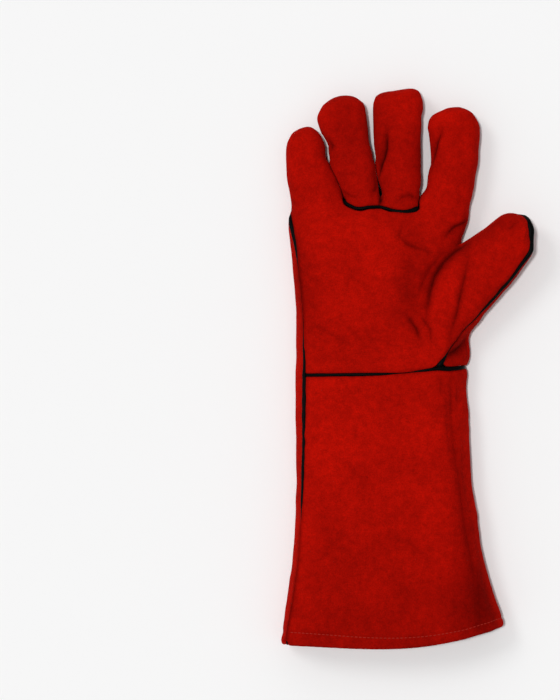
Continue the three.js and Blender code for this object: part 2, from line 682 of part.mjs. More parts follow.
// A leather panel: its cells outside, the same cells a wall deeper, and its edges closed
function panelMesh(name, panel, material) {
  const sidesOf = ([a, b, c, d]) => [`${a}>${b}`, `${b}>${c}`, `${c}>${d}`, `${d}>${a}`];
  const edges = new Set(panel.flatMap(sidesOf));
  const nextOnEdge = new Map();
  const previousOnEdge = new Map();
  for (const edge of edges) {
    const [a, b] = edge.split('>').map(Number);
    if (!edges.has(`${b}>${a}`)) {
      nextOnEdge.set(a, b);
      previousOnEdge.set(b, a);
    }
  }
  const surface = new Map();
  for (const index of new Set(panel.flat())) {
    const { position, normal } = points[index];
    const at = position.clone();
    if (nextOnEdge.has(index)) {
      const next = nextOnEdge.get(index);
      const previous = previousOnEdge.get(index);
      const gapBefore = seamGap.get(edgeKey(previous, index)) ?? 0;
      const gapAfter = seamGap.get(edgeKey(index, next)) ?? 0;
      at.add(sideways(normal, towards(previous, index), towards(index, next), gapBefore, gapAfter));
    }
    surface.set(index, at);
  }
  const depth = wallDepths(panel, surface, (index) => nextOnEdge.has(index));
  const corners = [];
  const outer = new Map();
  for (const [index, at] of surface) {
    outer.set(index, corners.length);
    corners.push(at, at.clone().addScaledVector(points[index].normal, -depth.get(index)));
  }
  const triangles = [];
  for (const [a, b, c, d] of panel) {
    const [p, q, r, s] = [a, b, c, d].map((index) => outer.get(index));
    const splitAC = corners[p].distanceTo(corners[r]) <= corners[q].distanceTo(corners[s]);
    const halves = splitAC ? [[p, q, r], [p, r, s]] : [[q, r, s], [q, s, p]];
    for (const [i, j, k] of halves) {
      triangles.push([i, j, k], [i + 1, k + 1, j + 1]);
    }
  }
  for (const [a, b] of nextOnEdge) {
    const [p, q] = [outer.get(a), outer.get(b)];
    triangles.push([p, p + 1, q + 1], [p, q + 1, q]);
  }
  return solid(name, corners, triangles, material);
}

// A welt: a strip of leather on edge along its seam, sunk in the wall and rounded above it
function weltMesh(name, { path, welt, trim }, material) {
  const half = welt.width / 2;
  const profile = [
    [-half, -welt.depth],
    [half, -welt.depth],
    [half, welt.shoulder],
    [0, welt.proud],
    [-half, welt.shoulder],
  ];
  const corners = [];
  path.forEach((index, i) => {
    const { position, normal } = points[index];
    const isStart = i === 0;
    const isEnd = i === path.length - 1;
    const before = isStart ? towards(index, path[1]) : towards(path[i - 1], index);
    const after = isEnd ? before : towards(index, path[i + 1]);
    const side = sideways(normal, before, after, 1, 1);
    const centre = position.clone();
    if (isStart) {
      centre.addScaledVector(after, trim.start);
    }
    if (isEnd) {
      centre.addScaledVector(before, -trim.end);
    }
    for (const [x, z] of profile) {
      corners.push(centre.clone().addScaledVector(side, x).addScaledVector(normal, z));
    }
  });
  const sides = profile.length;
  const triangles = [];
  for (let i = 0; i + 1 < path.length; i += 1) {
    for (let k = 0; k < sides; k += 1) {
      const a = i * sides + k;
      const b = i * sides + ((k + 1) % sides);
      triangles.push([a, b, b + sides], [a, b + sides, a + sides]);
    }
  }
  const lastStart = corners.length - sides;
  for (let k = 1; k + 1 < sides; k += 1) {
    triangles.push([0, k + 1, k], [lastStart, lastStart + k, lastStart + k + 1]);
  }
  return solid(name, corners, triangles, material);
}

const redSuede = new THREE.MeshStandardMaterial({ color: 0x9e0c05, roughness: 0.92, metalness: 0 });
const blackLeather = new THREE.MeshStandardMaterial({ color: 0x0b0a0a, roughness: 0.5, metalness: 0 });

const gauntlet = new THREE.Group();
for (const [name, panel] of Object.entries(cells)) {
  gauntlet.add(panelMesh(name, panel, redSuede));
}
for (const [name, seam] of Object.entries(SEAMS)) {
  gauntlet.add(weltMesh(name, seam, blackLeather));
}

// The origin is the middle of the gauntlet's box, on the surface that it lies on
const box = new THREE.Box3().setFromObject(gauntlet);
const middle = box.getCenter(new THREE.Vector3());
gauntlet.position.set(-middle.x, -middle.y, -box.min.z);

export default gauntlet;
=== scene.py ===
import math

import bpy
import numpy as np
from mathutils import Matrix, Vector, noise
from mathutils.bvhtree import BVHTree


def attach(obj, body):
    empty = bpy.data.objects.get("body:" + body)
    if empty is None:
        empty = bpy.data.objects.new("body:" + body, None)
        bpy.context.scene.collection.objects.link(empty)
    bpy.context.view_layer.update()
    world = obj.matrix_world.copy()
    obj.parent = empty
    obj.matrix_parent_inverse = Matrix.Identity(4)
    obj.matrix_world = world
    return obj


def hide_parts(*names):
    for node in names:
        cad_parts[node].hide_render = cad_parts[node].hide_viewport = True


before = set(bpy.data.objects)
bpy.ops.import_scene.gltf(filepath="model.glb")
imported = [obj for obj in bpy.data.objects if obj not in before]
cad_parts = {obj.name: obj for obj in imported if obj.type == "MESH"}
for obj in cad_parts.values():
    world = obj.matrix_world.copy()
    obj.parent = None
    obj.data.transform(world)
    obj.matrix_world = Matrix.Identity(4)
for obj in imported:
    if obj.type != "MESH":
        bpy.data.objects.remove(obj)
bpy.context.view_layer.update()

# Loading the frame leaves its nodes selected
bpy.ops.object.select_all(action="DESELECT")


# The back: one cut of red split leather from the hem to the fingertips, its nap outside. It is sewn
# to the other panels through the black welts, which lie in a gap between the panels, and it wraps a
# little onto the palm side along the little-finger edge.

def merged_tree(names):
    """All faces of some CAD nodes, for finding what is near or in the way."""
    corners, faces = [], []
    for name in names:
        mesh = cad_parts[name].data
        start = len(corners)
        corners += [vertex.co.copy() for vertex in mesh.vertices]
        faces += [[start + i for i in polygon.vertices] for polygon in mesh.polygons]
    return BVHTree.FromPolygons(corners, faces)


WELTS = ["welt_closing", "welt_thumb", "welt_wrist", "welt_finger_base"]
glove_tree = merged_tree(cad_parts)
welt_tree = merged_tree(WELTS)
UP = Vector((0, 0, 1))
SAME_PLACE = 1e-5


def select_only(piece):
    bpy.ops.object.select_all(action="DESELECT")
    bpy.context.view_layer.objects.active = piece
    piece.select_set(True)


def apply_modifier(piece, kind, **settings):
    modifier = piece.modifiers.new(kind.lower(), kind)
    for key, value in settings.items():
        setattr(modifier, key, value)
    select_only(piece)
    bpy.ops.object.modifier_apply(modifier=modifier.name)


def merged_copy(node, name):
    """A piece that starts as a CAD node's mesh with its loose triangles joined up."""
    piece = bpy.data.objects.new(name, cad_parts[node].data.copy())
    bpy.context.collection.objects.link(piece)
    piece.data.name = name
    piece.data.materials.clear()
    select_only(piece)
    bpy.ops.object.mode_set(mode="EDIT")
    bpy.ops.mesh.select_all(action="SELECT")
    bpy.ops.mesh.remove_doubles(threshold=SAME_PLACE)
    bpy.ops.object.mode_set(mode="OBJECT")
    return piece


# A face of a panel's rim stands against a welt, or closes the hem, or looks across an open seam.
# Rays start just off a face, and further off where they look for what lies above and below it.
BESIDE_WELT = 0.00065
FACING_WELT = 0.7
ALONG_WALL = 0.0042
ACROSS_SEAM = 0.0034
FACING_BACK = -0.4
HEM_Y = -0.185
FACING_HEM = -0.75
OFF_FACE = 2e-5
CLEAR_OF_FACE = 3e-4


def largest_part(faces, neighbours):
    """The largest connected part of a set of faces."""
    left, largest = set(faces), set()
    while left:
        part, queue = set(), [left.pop()]
        while queue:
            index = queue.pop()
            part.add(index)
            fresh = left.intersection(neighbours[index])
            left -= fresh
            queue += fresh
        largest = max(largest, part, key=len)
    return largest


def corner_angles(mesh, polygon):
    places = [mesh.vertices[i].co for i in polygon.vertices]
    return {
        index: (places[i - 1] - places[i]).angle(places[(i + 1) % 3] - places[i])
        for i, index in enumerate(polygon.vertices)
    }


def sure_faces(mesh):
    """The faces of a panel's solid that are surely on its outer side, and those surely inside."""
    polygons = mesh.polygons
    own = BVHTree.FromPolygons([v.co for v in mesh.vertices], [list(p.vertices) for p in polygons])
    sharing = {}
    for polygon in polygons:
        for key in polygon.edge_keys:
            sharing.setdefault(key, []).append(polygon.index)
    neighbours = {
        polygon.index: [
            other for key in polygon.edge_keys for other in sharing[key] if other != polygon.index
        ]
        for polygon in polygons
    }
    rim, inside = set(), set()
    for polygon in polygons:
        centre, normal = polygon.center, polygon.normal
        wall = own.ray_cast(centre - normal * OFF_FACE, -normal)[3] or math.inf
        nearest, _, _, gap = welt_tree.find_nearest(centre)
        by_welt = gap < BESIDE_WELT and (nearest - centre).normalized().dot(normal) > FACING_WELT
        _, facing, _, gap = glove_tree.ray_cast(centre + normal * OFF_FACE, normal)
        across = gap is not None and gap < ACROSS_SEAM and facing.dot(normal) < FACING_BACK
        at_hem = normal.y < FACING_HEM and centre.y < HEM_Y
        if at_hem or by_welt or (across and wall > ALONG_WALL):
            rim.add(polygon.index)
        clear = centre + normal * CLEAR_OF_FACE
        if all(glove_tree.ray_cast(clear, way)[0] for way in (UP, -UP)):
            inside.add(polygon.index)
    everything = {polygon.index for polygon in polygons}
    return (
        largest_part(everything - rim - inside, neighbours),
        largest_part(inside - rim, neighbours),
    )


def outer_faces(mesh):
    """The faces of a panel's solid that are neither its rim nor its inner side. The sure ones give
    each corner a side, outer or inner, and the corners left over take that of their neighbours."""
    polygons = mesh.polygons
    seen, unseen = sure_faces(mesh)
    around = {}
    for polygon in polygons:
        for corner, angle in corner_angles(mesh, polygon).items():
            around.setdefault(corner, []).append((polygon.index, angle))
    side = {}
    for corner, fan in around.items():
        if any(index in seen or index in unseen for index, _ in fan):
            lean = sum(angle * ((index in seen) - (index in unseen)) for index, angle in fan)
            side[corner] = 1 if lean > 0 else -1

    def leaning(corner):
        """How far the faces round a corner draw it to the outer side, more than 0, or the inner."""
        lean = 0
        for index, angle in around[corner]:
            first, second = (side.get(i, 0) for i in polygons[index].vertices if i != corner)
            if first == second:
                lean += first * angle
        return lean

    unsettled = sorted(set(around) - set(side))
    while unsettled:
        corner = max(unsettled, key=lambda corner: abs(leaning(corner)))
        side[corner] = 1 if leaning(corner) > 0 else -1
        unsettled.remove(corner)
    while sum(value > 0 for value in side.values()) < len(side) // 2:
        inner = sorted(corner for corner, value in side.items() if value < 0)
        side[max(inner, key=leaning)] = 1
    return without_ears(mesh, {p.index for p in polygons if all(side[i] > 0 for i in p.vertices)})


# The faces this near to one at the edge say which way the panel faces there
EAR_REACH = 0.005


def without_ears(mesh, faces):
    """Leaves out the faces at the edge of a set that are turned away from the faces round them."""
    while True:
        uses = {}
        for index in faces:
            for key in mesh.polygons[index].edge_keys:
                uses[key] = uses.get(key, 0) + 1
        ears = set()
        for index in faces:
            face = mesh.polygons[index]
            if all(uses[key] > 1 for key in face.edge_keys):
                continue
            facing = Vector()
            for other in (mesh.polygons[i] for i in faces):
                if (other.center - face.center).length < EAR_REACH:
                    facing += other.normal * other.area
            if facing.dot(face.normal) < 0:
                ears.add(index)
        if not ears:
            return faces
        faces = faces - ears


# Triangles are joined where the two bend less than this, in degrees, and the cell they make is no
# more askew than this
PANEL_BEND = 70
CELL_SKEW = 80


def join_triangles(bend):
    """Joins pairs of triangles into four-sided cells, and leaves edit mode."""
    bpy.ops.mesh.select_all(action="SELECT")
    bpy.ops.mesh.tris_convert_to_quads(
        face_threshold=math.radians(bend), shape_threshold=math.radians(CELL_SKEW)
    )
    bpy.ops.object.mode_set(mode="OBJECT")


# The outer triangles of every panel's solid, which the welts are sunk against later
outer_skin = []


def leather_panel(node, levels):
    """The outer surface of a panel as four-sided cells, smoothed by subdivision."""
    piece = merged_copy(node, "leather_" + node)
    outer = outer_faces(piece.data)
    outer_skin.extend(
        [piece.data.vertices[i].co.copy() for i in piece.data.polygons[index].vertices]
        for index in sorted(outer)
    )
    bpy.context.tool_settings.mesh_select_mode = (False, False, True)
    for item in (*piece.data.vertices, *piece.data.edges):
        item.select = False
    for polygon in piece.data.polygons:
        polygon.select = polygon.index not in outer
    bpy.ops.object.mode_set(mode="EDIT")
    bpy.ops.mesh.delete(type="FACE")
    join_triangles(PANEL_BEND)
    apply_modifier(piece, "SUBSURF", levels=levels, render_levels=levels, boundary_smooth="ALL")
    return piece


def smoothstep(low, high, value):
    t = np.clip((value - low) / (high - low), 0, 1)
    return t * t * (3 - 2 * t)


def read(piece, what):
    values = np.empty(len(piece.data.vertices) * 3, np.float32)
    piece.data.vertices.foreach_get(what, values)
    return values.reshape(-1, 3).astype(float)


# The gauntlet rests on its back, so nothing goes below this height, and the thumb's tip is pressed
# flat this far out
LOWEST = 0.0002
THUMB_SIDE = 0.0896


def write(piece, points):
    points[:, 0] = np.minimum(points[:, 0], THUMB_SIDE)
    points[:, 2] = np.maximum(points[:, 2], LOWEST)
    piece.data.vertices.foreach_set("co", points.astype(np.float32).ravel())
    piece.data.update()


NOISE_STEPS = (7.3, 3.1, 5.7)


def lumps(points, scale, seed):
    """Smooth noise from -1 to 1 at each point; scale is lumps per metre."""
    shift = Vector([seed * step for step in NOISE_STEPS])
    return np.array([noise.noise(Vector(point) * scale + shift) for point in points])


# Places and shifts in plan are given in mm, as the mesh is in metres
MM = 1000


def share_near(points, x, y, radius):
    """A share that falls from 1 at a place in plan to nearly nothing at twice its radius."""
    return np.exp(-((points[:, 0] * MM - x) ** 2 + (points[:, 1] * MM - y) ** 2) / radius ** 2)


# Fingers lean on each other. For each gap between two of them: how far up it is, its middle, half
# its width, how far its middle moves, and how far each side moves in, all in mm.
FINGER_GAPS = [
    [(117.1, -47.0, 1.45, 0.0, 0.0), (122.2, -47.7, 1.45, -0.25, 0.47),
     (126.5, -48.4, 1.45, -1.09, 1.38), (130.9, -49.5, 2.1, -1.45, 2.05),
     (135.2, -51.3, 2.5, -1.45, 2.45), (139.6, -53.5, 2.5, -1.24, 2.45),
     (144.0, -55.7, 2.5, -1.38, 2.45), (148.3, -57.5, 2.2, -1.45, 2.1),
     (152.7, -59.0, 1.82, -1.09, 0.5), (157.1, -60.4, 1.82, -0.36, 0.3),
     (161.4, -62.2, 1.45, 1.09, 0.2), (170.1, -64.4, 1.45, 0.36, 0.2),
     (178.9, -65.2, 1.45, 0.0, 0.0)],
    [(117.1, -21.5, 1.09, 0.0, 0.0), (122.2, -21.5, 1.09, -0.36, 0.36),
     (126.5, -21.5, 1.09, -0.18, -0.18), (130.9, -22.3, 1.45, 0.0, 0.73),
     (135.2, -23.0, 1.8, -0.36, 1.5), (139.6, -24.4, 1.8, 0.0, 1.7),
     (144.0, -25.2, 1.8, 0.29, 1.7), (148.3, -26.3, 2.0, 0.36, 1.95),
     (152.7, -27.0, 1.82, 0.36, 0.9), (157.1, -27.3, 2.18, 0.36, 0.9),
     (161.4, -28.1, 2.18, 0.0, 0.6), (165.8, -28.8, 2.18, 0.0, 0.3),
     (178.9, -29.9, 2.54, 0.36, 0.36), (197.8, -32.4, 2.91, 0.0, 0.0)],
    [(112.0, 5.4, 1.45, 0.0, 0.0), (117.1, 6.1, 1.45, -0.18, 0.91),
     (121.5, 6.7, 1.45, -0.33, 1.38), (124.2, 7.0, 1.6, 0.2, 1.4), (127.4, 7.3, 1.9, 0.73, 0.73),
     (130.9, 7.5, 2.18, 1.82, 0.36), (135.2, 7.9, 3.27, 1.82, 1.09),
     (139.6, 8.6, 4.0, 1.45, 1.45), (144.0, 9.4, 4.0, 1.09, 1.09),
     (148.3, 9.7, 4.36, 1.45, 0.73), (157.1, 9.7, 4.36, 0.95, 0.95),
     (170.1, 9.7, 4.36, 0.36, 1.09), (174.5, 10.1, 4.0, 0.0, 1.45),
     (183.2, 11.9, 4.36, 0.0, 0.73), (187.6, 14.1, 5.82, 1.09, 0.36),
     (202.1, 14.1, 5.82, 0.0, 0.0)],
]
# How far beyond a gap the fingers give with it, in mm
FINGER_GIVE = 8

# How the edges of the gauntlet lie, against the plain solid: place and shift in plan, in mm
EDGE_SHIFTS = [
    # The little finger's edge
    (-86.2, 170.1, -0.4, 0), (-88.8, 161.4, -1.1, 0), (-89.9, 152.7, -1.1, 0),
    (-89.9, 144, -0.7, 0), (-88.4, 135.2, -0.7, 0), (-87, 126.5, -0.5, 0), (-86.2, 117.8, 0, 0),
    # The tips of the ring and middle fingers
    (-56.4, 196.3, -0.7, 0), (-62.2, 192, -0.7, 0), (-65.2, 187.6, -1.5, 0),
    (-66.6, 183.2, -1.5, 0), (-65.9, 178.9, -2.2, 0), (-64.8, 174.5, -1.8, 0), (-70.2, 174.5, 0, 0),
    (-21.5, 201.4, 0, -1.5), (-16.4, 202.1, 0, -1.5), (-11.4, 202.5, 0, -1.2),
    (-6.3, 202.9, 0, -0.2), (-1.9, 202.9, 0, 0.6), (2.5, 202.1, 0, 1.1),
    # The index finger, down to the thumb's crotch
    (16.3, 183.2, -0.7, 0), (21.4, 187.6, 0.7, 0), (46.8, 183.2, -0.7, 0), (49, 174.5, 1.5, 0),
    (49, 170.1, 1.5, 0), (48.3, 165.8, 2.2, 0), (48.3, 160, 0.7, 0), (47.5, 152.7, 1.5, 0),
    (46.8, 146.9, 1.5, 0), (46.1, 139.6, 0.7, 0), (44.6, 133.8, 1.5, 0), (43.2, 128, 1.8, 0),
    (41.7, 122.2, 2.2, 0), (40.3, 117.8, 2.2, 0), (39.5, 113.4, 2.9, 0), (38.8, 109.1, 3.6, 0),
    (38.8, 104.7, 2.5, 0), (38.8, 100.4, 1.1, 0),
    # The thumb, from its crotch round its tip to the wrist
    (37, 92.5, -0.5, -2.2), (43.2, 95.3, 0, -0.9), (51.9, 101.1, 0, -0.9), (60.6, 106.9, 0, 0),
    (65, 109.8, 0, 1.5), (69.3, 112.3, 0, -0.4), (78.1, 112.3, 0, -1.1), (82.4, 110.9, 0, -0.7),
    (90.4, 103.3, -1.9, 0), (91.2, 96, -4.3, 0), (90.4, 88.7, -3.6, 0), (88.2, 85.1, -1.3, 0),
    (94.4, 91, -5.8, 0), (86.8, 81.5, -0.3, 0), (84.6, 77.8, -0.5, 0), (81.7, 74.2, -0.7, 0),
    (78.8, 70.5, -1.4, 0), (73.7, 63.3, -2.1, 0), (67.9, 56, -2.2, 0), (64.3, 50.9, -2.8, 0),
    (59.2, 45.1, -2.6, 0), (54.8, 40, -3, 0), (49.7, 34.2, -1, 0), (45.4, 26.9, -1.5, 0),
    (43.9, 23.3, -2.2, 0), (43.2, 19.7, -1.5, 0), (42.4, 16, 0, 0), (41.7, 10.9, 1.1, 0),
    (39.5, 5.1, 2.2, 0), (38.1, -1.4, 2.9, 0),
    # The cuff's edge at the thumb's side
    (38.8, -6.5, 1.5, 0), (39.5, -13.8, 0.7, 0), (40.3, -23.2, 0.7, 0), (40.3, -32, 1.5, 0),
    (41.7, -42.1, 0.7, 0), (42.4, -53, 0, 0), (46.1, -95.9, 0.7, 0), (46.8, -106.8, 1.5, 0),
    (49, -117.7, 0.7, 0),
    # The edge of the hand and the cuff at the little finger's side
    (-86.2, 106.2, -2.2, 0), (-85.5, 98.9, -2.2, 0), (-85.9, 91.6, -1.8, 0), (-85.5, 82.9, -1.5, 0),
    (-84.8, 74.2, -1.5, 0), (-84.1, 65.5, -1.5, 0), (-83.3, 56.7, -1.5, 0), (-82.6, 48, -0.9, 0),
    (-82.6, 34.9, -0.7, 0), (-82.6, 21.8, -0.7, 0), (-82.6, 8.8, -0.7, 0), (-81.9, -4.3, -1.5, 0),
    (-81.9, -14.5, -1.5, 0), (-81.9, -24.7, -1.5, 0), (-81.9, -34.9, -1.5, 0),
    (-81.9, -45, -1.1, 0), (-82.6, -56, -0.7, 0), (-82.6, -65.4, -0.7, 0), (-82.6, -74.1, -0.7, 0),
    (-83.3, -84.3, -0.4, 0), (-83.3, -95.9, -0.4, 0),
    # The closing seam where it shows on the palm side
    (-76.1, 17.5, -1.2, 0), (-76.1, 26.2, -1.2, 0), (-76.1, 34.9, -1.2, 0), (-76.8, 48, -1.1, 0),
    (-77.5, 56.7, -0.7, 0), (-79, 65.5, -0.7, 0), (-80.4, 77.1, -0.4, 0), (-81.9, 87.3, 0, 0),
    (-82.6, 96, 0, 0), (-84.1, 104.7, 0, 0), (-76.1, 8.8, -0.7, 0), (-76.1, 0, -0.5, 0),
    # The thumb's welt
    (84.5, 84, 2.2, 0), (80, 78, 2.8, 0), (74.6, 70.8, 3.2, 0), (69.2, 63.7, 3.4, 0),
    (61, 54.5, 3.2, 0), (54, 46.2, 2.4, 0), (47.5, 37.8, 0.9, 0),
    # The seam at the fingers' base, and the wrist seam
    (-38.3, 117.1, 0, -1.3), (-30, 117, 0, 1.3), (-23.7, 116.6, 0, 0.6), (6, -2.8, 0, 0.5),
    (13.5, -1.9, 0, 1), (20.5, -0.5, 0, 1.3), (27.5, 0, 0, -0.3), (-11.4, 115.6, 0, -0.4),
    (-3.5, 115.3, 0, -1.4), (3.9, 116.3, 0, -1.7), (8, 118, -1.2, 0),
    # The lower corners of the cuff
    (-87.5, -155, -0.9, 0), (-88.5, -165, -1, 0), (-90, -176, -1.2, 0), (-91, -187, -1.4, 0),
    (-92, -198, -2, 0), (62.5, -176, 0.6, 0), (65, -185, 1.4, 0), (60, -192, 0.5, -0.6),
]
# How far round each of these places the leather gives with it, in mm
EDGE_GIVE = 6


def settle(points):
    """Lays the fingers against each other and draws the edges into shape, in plan, all through the
    thickness of the gauntlet."""
    x, y = points[:, 0] * MM, points[:, 1] * MM
    across = np.zeros(len(points))
    for gap in FINGER_GAPS:
        up, middle, half, shift, squeeze = np.array(gap).T
        offset = x - np.interp(y, up, middle)
        half = np.interp(y, up, half)
        fade = np.exp(-np.maximum(np.abs(offset) - half, 0) / FINGER_GIVE)
        inward = -np.sign(offset) * np.clip(np.abs(offset) / half, 0, 1)
        across += fade * (np.interp(y, up, shift) + inward * np.interp(y, up, squeeze))
    edges = np.array(EDGE_SHIFTS)
    reach = (x[:, None] - edges[:, 0]) ** 2 + (y[:, None] - edges[:, 1]) ** 2
    share = np.exp(-reach / EDGE_GIVE ** 2)
    moved = (share @ edges[:, 2:]) / np.maximum(share.sum(axis=1), 1)[:, None]
    points[:, 0] += (across + moved[:, 0]) / MM
    points[:, 1] += moved[:, 1] / MM


# Where the leather closes over its welt: place in plan and radius in mm, and how much of the way,
# less than 0 where it stays open. Between the fingers it closes from one place on Y to the other.
SEAM_CLOSED = [
    (-80.4, 62, 16, 0.55), (-78.2, 35, 14, 0.5), (-83, -125, 22, 0.75), (-85, -155, 22, 1),
    (-88, -185, 22, 1), (-4.5, -3.4, 11, 1.3), (-87, 117, 5, 1), (43, 94.5, 6, 1), (50, 99, 6, 1),
    (58, 105, 6, 1), (65, 109.8, 6, 1), (71, 112, 5, 0.8), (43, 110, 8, 1), (41, 102, 8, 1),
    (47, 36, 10, 0.6), (36, 21, 10, 0.9), (28, 13, 7, 0.7), (8, 123.5, 4, 1.5), (-49, 128, 5, 1),
    (-22.3, 129.5, 8, -1.6),
]
FINGER_SEAMS_CLOSE = (118, 127)


def closed_share(points):
    """How far a seam has closed over its welt at each point, from 0 to 1."""
    share = smoothstep(*FINGER_SEAMS_CLOSE, points[:, 1] * MM)
    for x, y, radius, amount in SEAM_CLOSED:
        share += amount * share_near(points, x, y, radius)
    return np.clip(share, 0, 1)


# A crease fades at the ends of its path as a sine over this part of its length, to this power
PATH_PART = (0.05, 0.95)
PATH_FADE = 0.6


def beside(points, path):
    """Where each point lies by a path seen from above: its distance, the way there, its distance to
    the right (to the left if less than 0), and a share that fades at the path's ends."""
    path = np.array(path) / MM
    lengths = np.linalg.norm(np.diff(path, axis=0), axis=1)
    starts = np.concatenate([[0], np.cumsum(lengths)])
    nearest = np.full(len(points), np.inf)
    away = np.zeros((len(points), 2))
    side = np.zeros(len(points))
    along = np.zeros(len(points))
    for a, b, start, length in zip(path[:-1], path[1:], starts, lengths):
        way = (b - a) / length
        offset = points[:, :2] - a
        t = np.clip(offset @ way, 0, length)
        gap = offset - t[:, None] * way
        distance = np.hypot(gap[:, 0], gap[:, 1])
        closer = distance < nearest
        cross = gap[:, 0] * way[1] - gap[:, 1] * way[0]
        nearest = np.where(closer, distance, nearest)
        away = np.where(closer[:, None], gap, away)
        side = np.where(closer, np.sign(cross) * distance, side)
        along = np.where(closer, (start + t) / starts[-1], along)
    return nearest, away, side, np.sin(np.pi * np.clip(along, *PATH_PART)) ** PATH_FADE


# A crease's shape across, in shares of its width: how round its bottom is, how far off its lip is
# and how wide, and how far off the leather is pinched, and how much
BOTTOM = 0.25
LIP_OFF = 2.0
LIP_WIDE = 1.4
PINCH_OFF = 1.5
PINCH = 0.4


def crease_moves(points, path, depth, width, lip):
    """A crease: the height of a sharp valley along path and of a lip beside it, the shift in plan
    that pinches it, and the shade to be painted in it. A positive lip lies to the right of the
    path."""
    nearest, away, side, ends = beside(points, path)
    width = width / MM
    valley = -np.exp(-np.sqrt(nearest ** 2 + (BOTTOM * width) ** 2) / width + BOTTOM)
    from_lip = (np.abs(side) - LIP_OFF * width) / (LIP_WIDE * width)
    ridge = np.exp(-(from_lip ** 2)) * (side * lip > 0)
    pinch = -away * (PINCH * ends * np.exp(-(nearest / (PINCH_OFF * width)) ** 2))[:, None]
    return ends * (depth * valley + abs(lip) * ridge) / MM, pinch, ends * np.exp(-nearest / width)


# Broad bands of painted shade on the palm side: path and width in mm, and how dark
BROAD_PAINTED_SHADE = [
    ([(-150, -220), (-10, -228), (110, -210)], 95, 0.36),
    ([(38, -125), (48, -160), (56, -203)], 14, 0.2),
    ([(-24, 112), (-22, 160), (-19, 205)], 9, 0.3),
    ([(-8, 112), (-9, 160), (-7, 205)], 10, 0.12),
    ([(-44, 112), (-53, 165), (-50, 205)], 15, 0.24),
    ([(-82, 100), (-84, 150), (-78, 190)], 12, 0.1),
    ([(22, 110), (30, 150), (30, 190)], 14, 0.08),
    ([(-86, 128), (-85, 90), (-82, 45)], 8, 0.36),
    ([(-80, 85), (-76, 45), (-74, 0)], 10, 0.2),
    ([(38, 88), (60, 104), (88, 115)], 9, 0.34),
    ([(22, 72), (37, 90), (43, 112)], 7, 0.3),
    ([(4, 90), (-4, 60), (0, 24)], 13, 0.3),
]


def evened(piece, values, rounds):
    """Values at a piece's corners, averaged with those of their neighbours a number of times."""
    pairs = np.empty(len(piece.data.edges) * 2, np.int32)
    piece.data.edges.foreach_get("vertices", pairs)
    first, second = pairs.reshape(-1, 2).T
    count = np.bincount(pairs, minlength=len(values))[:, None]
    for _ in range(rounds):
        total = np.zeros_like(values)
        np.add.at(total, first, values[second])
        np.add.at(total, second, values[first])
        values = (values + total / count) / 2
    return values


# How the leather lies near a seam, in metres: how far it swells, how far its edge rolls down, how
# far the edge is drawn over the welt, and how much shade is painted on it, each with what a closed
# seam adds or takes off and the two distances from the welt over which it changes
SWELL, SWELL_OVER = 0.0005, (0.001, 0.006)
ROLL, ROLL_CLOSED, ROLL_OVER = 0.0006, 0.0002, (0.0003, 0.0018)
DRAWN, DRAWN_CLOSED, DRAWN_OVER = 0.0002, 0.0009, (0.0006, 0.004)
SHADE, SHADE_CLOSED, SHADE_OVER = 0.22, 0.25, (0.0004, 0.0024)

# Its waves, as height in metres and lumps per metre: broad ones that fade at the seams, narrower
# ones, puckers that fade away from the seams, and fine bumps
WAVES = [(0.0008, 26), (0.0003, 75), (0.00035, 190), (0.00005, 700)]
BROAD_OVER = (0, 0.012)
PUCKER_REACH = 0.004

# How far up a face points where a crease fades in, and the depth in mm at which the shade painted
# in a crease is darkest
FACING_OVER = (0.1, 0.5)
DARKEST_DEPTH = 2.2

# How often the ways out of a panel and the shifts to its seams are evened out. The ways are kept,
# for the panel's thickness.
WAY_ROUNDS = 4
DRAWN_ROUNDS = 3
wall_ways = {}


def shape_leather(piece, creases, upward, seed):
    """Swells a panel between its seams, rolls its edge into the seam, and adds waves, puckers and
    the creases, each (path in mm, depth, width, lip), where the panel faces upward: 1 for up, -1
    for down, and 2 for a crease that goes on over a steep side."""
    points, normals = read(piece, "co"), read(piece, "normal")
    found = [welt_tree.find_nearest(Vector(point)) for point in points]
    seam = np.array([item[3] for item in found])
    towards = np.array([item[0] for item in found]) - points
    towards -= normals * np.sum(towards * normals, axis=1)[:, None]
    towards /= np.maximum(np.linalg.norm(towards, axis=1), SAME_PLACE)[:, None]
    closed = closed_share(points)
    height = SWELL * smoothstep(*SWELL_OVER, seam)
    height -= (ROLL - ROLL_CLOSED * closed) * (1 - smoothstep(*ROLL_OVER, seam))
    fades = (smoothstep(*BROAD_OVER, seam), 1, np.exp(-seam / PUCKER_REACH), 1)
    for number, ((rise, scale), fade) in enumerate(zip(WAVES, fades)):
        height += rise * lumps(points, scale, seed + number) * fade
    # Shade painted along the seams, darker where a seam has closed over its welt
    painted_shade = (SHADE + SHADE_CLOSED * closed) * (1 - smoothstep(*SHADE_OVER, seam))
    facing = smoothstep(*FACING_OVER, normals[:, 2] * upward)
    for path, depth, width, lip in creases:
        rise, pinch, shade = crease_moves(points, path, depth, width, lip)
        height += rise * facing
        points[:, :2] += pinch * facing[:, None]
        # Shade painted in the crease
        painted_shade = np.maximum(painted_shade, shade * facing * min(1, depth / DARKEST_DEPTH))
    # Broad bands of painted shade on the palm side
    palm_side = smoothstep(*FACING_OVER, normals[:, 2])
    for path, width, dark in BROAD_PAINTED_SHADE:
        nearest, _, _, ends = beside(points, path)
        painted_shade += dark * palm_side * ends * np.exp(-((nearest * MM / width) ** 2))
    drawn = (DRAWN + DRAWN_CLOSED * closed) * (1 - smoothstep(*DRAWN_OVER, seam))
    normals = evened(piece, normals, WAY_ROUNDS)
    normals /= np.linalg.norm(normals, axis=1)[:, None]
    points += normals * height[:, None] + evened(piece, towards * drawn[:, None], DRAWN_ROUNDS)
    settle(points)
    write(piece, points)
    wall_ways[piece.name] = normals
    # The painted shade goes to the panel's material as an attribute
    attribute = piece.data.attributes.new("painted_shade", "FLOAT", "POINT")
    attribute.data.foreach_set("value", painted_shade.astype(np.float32))


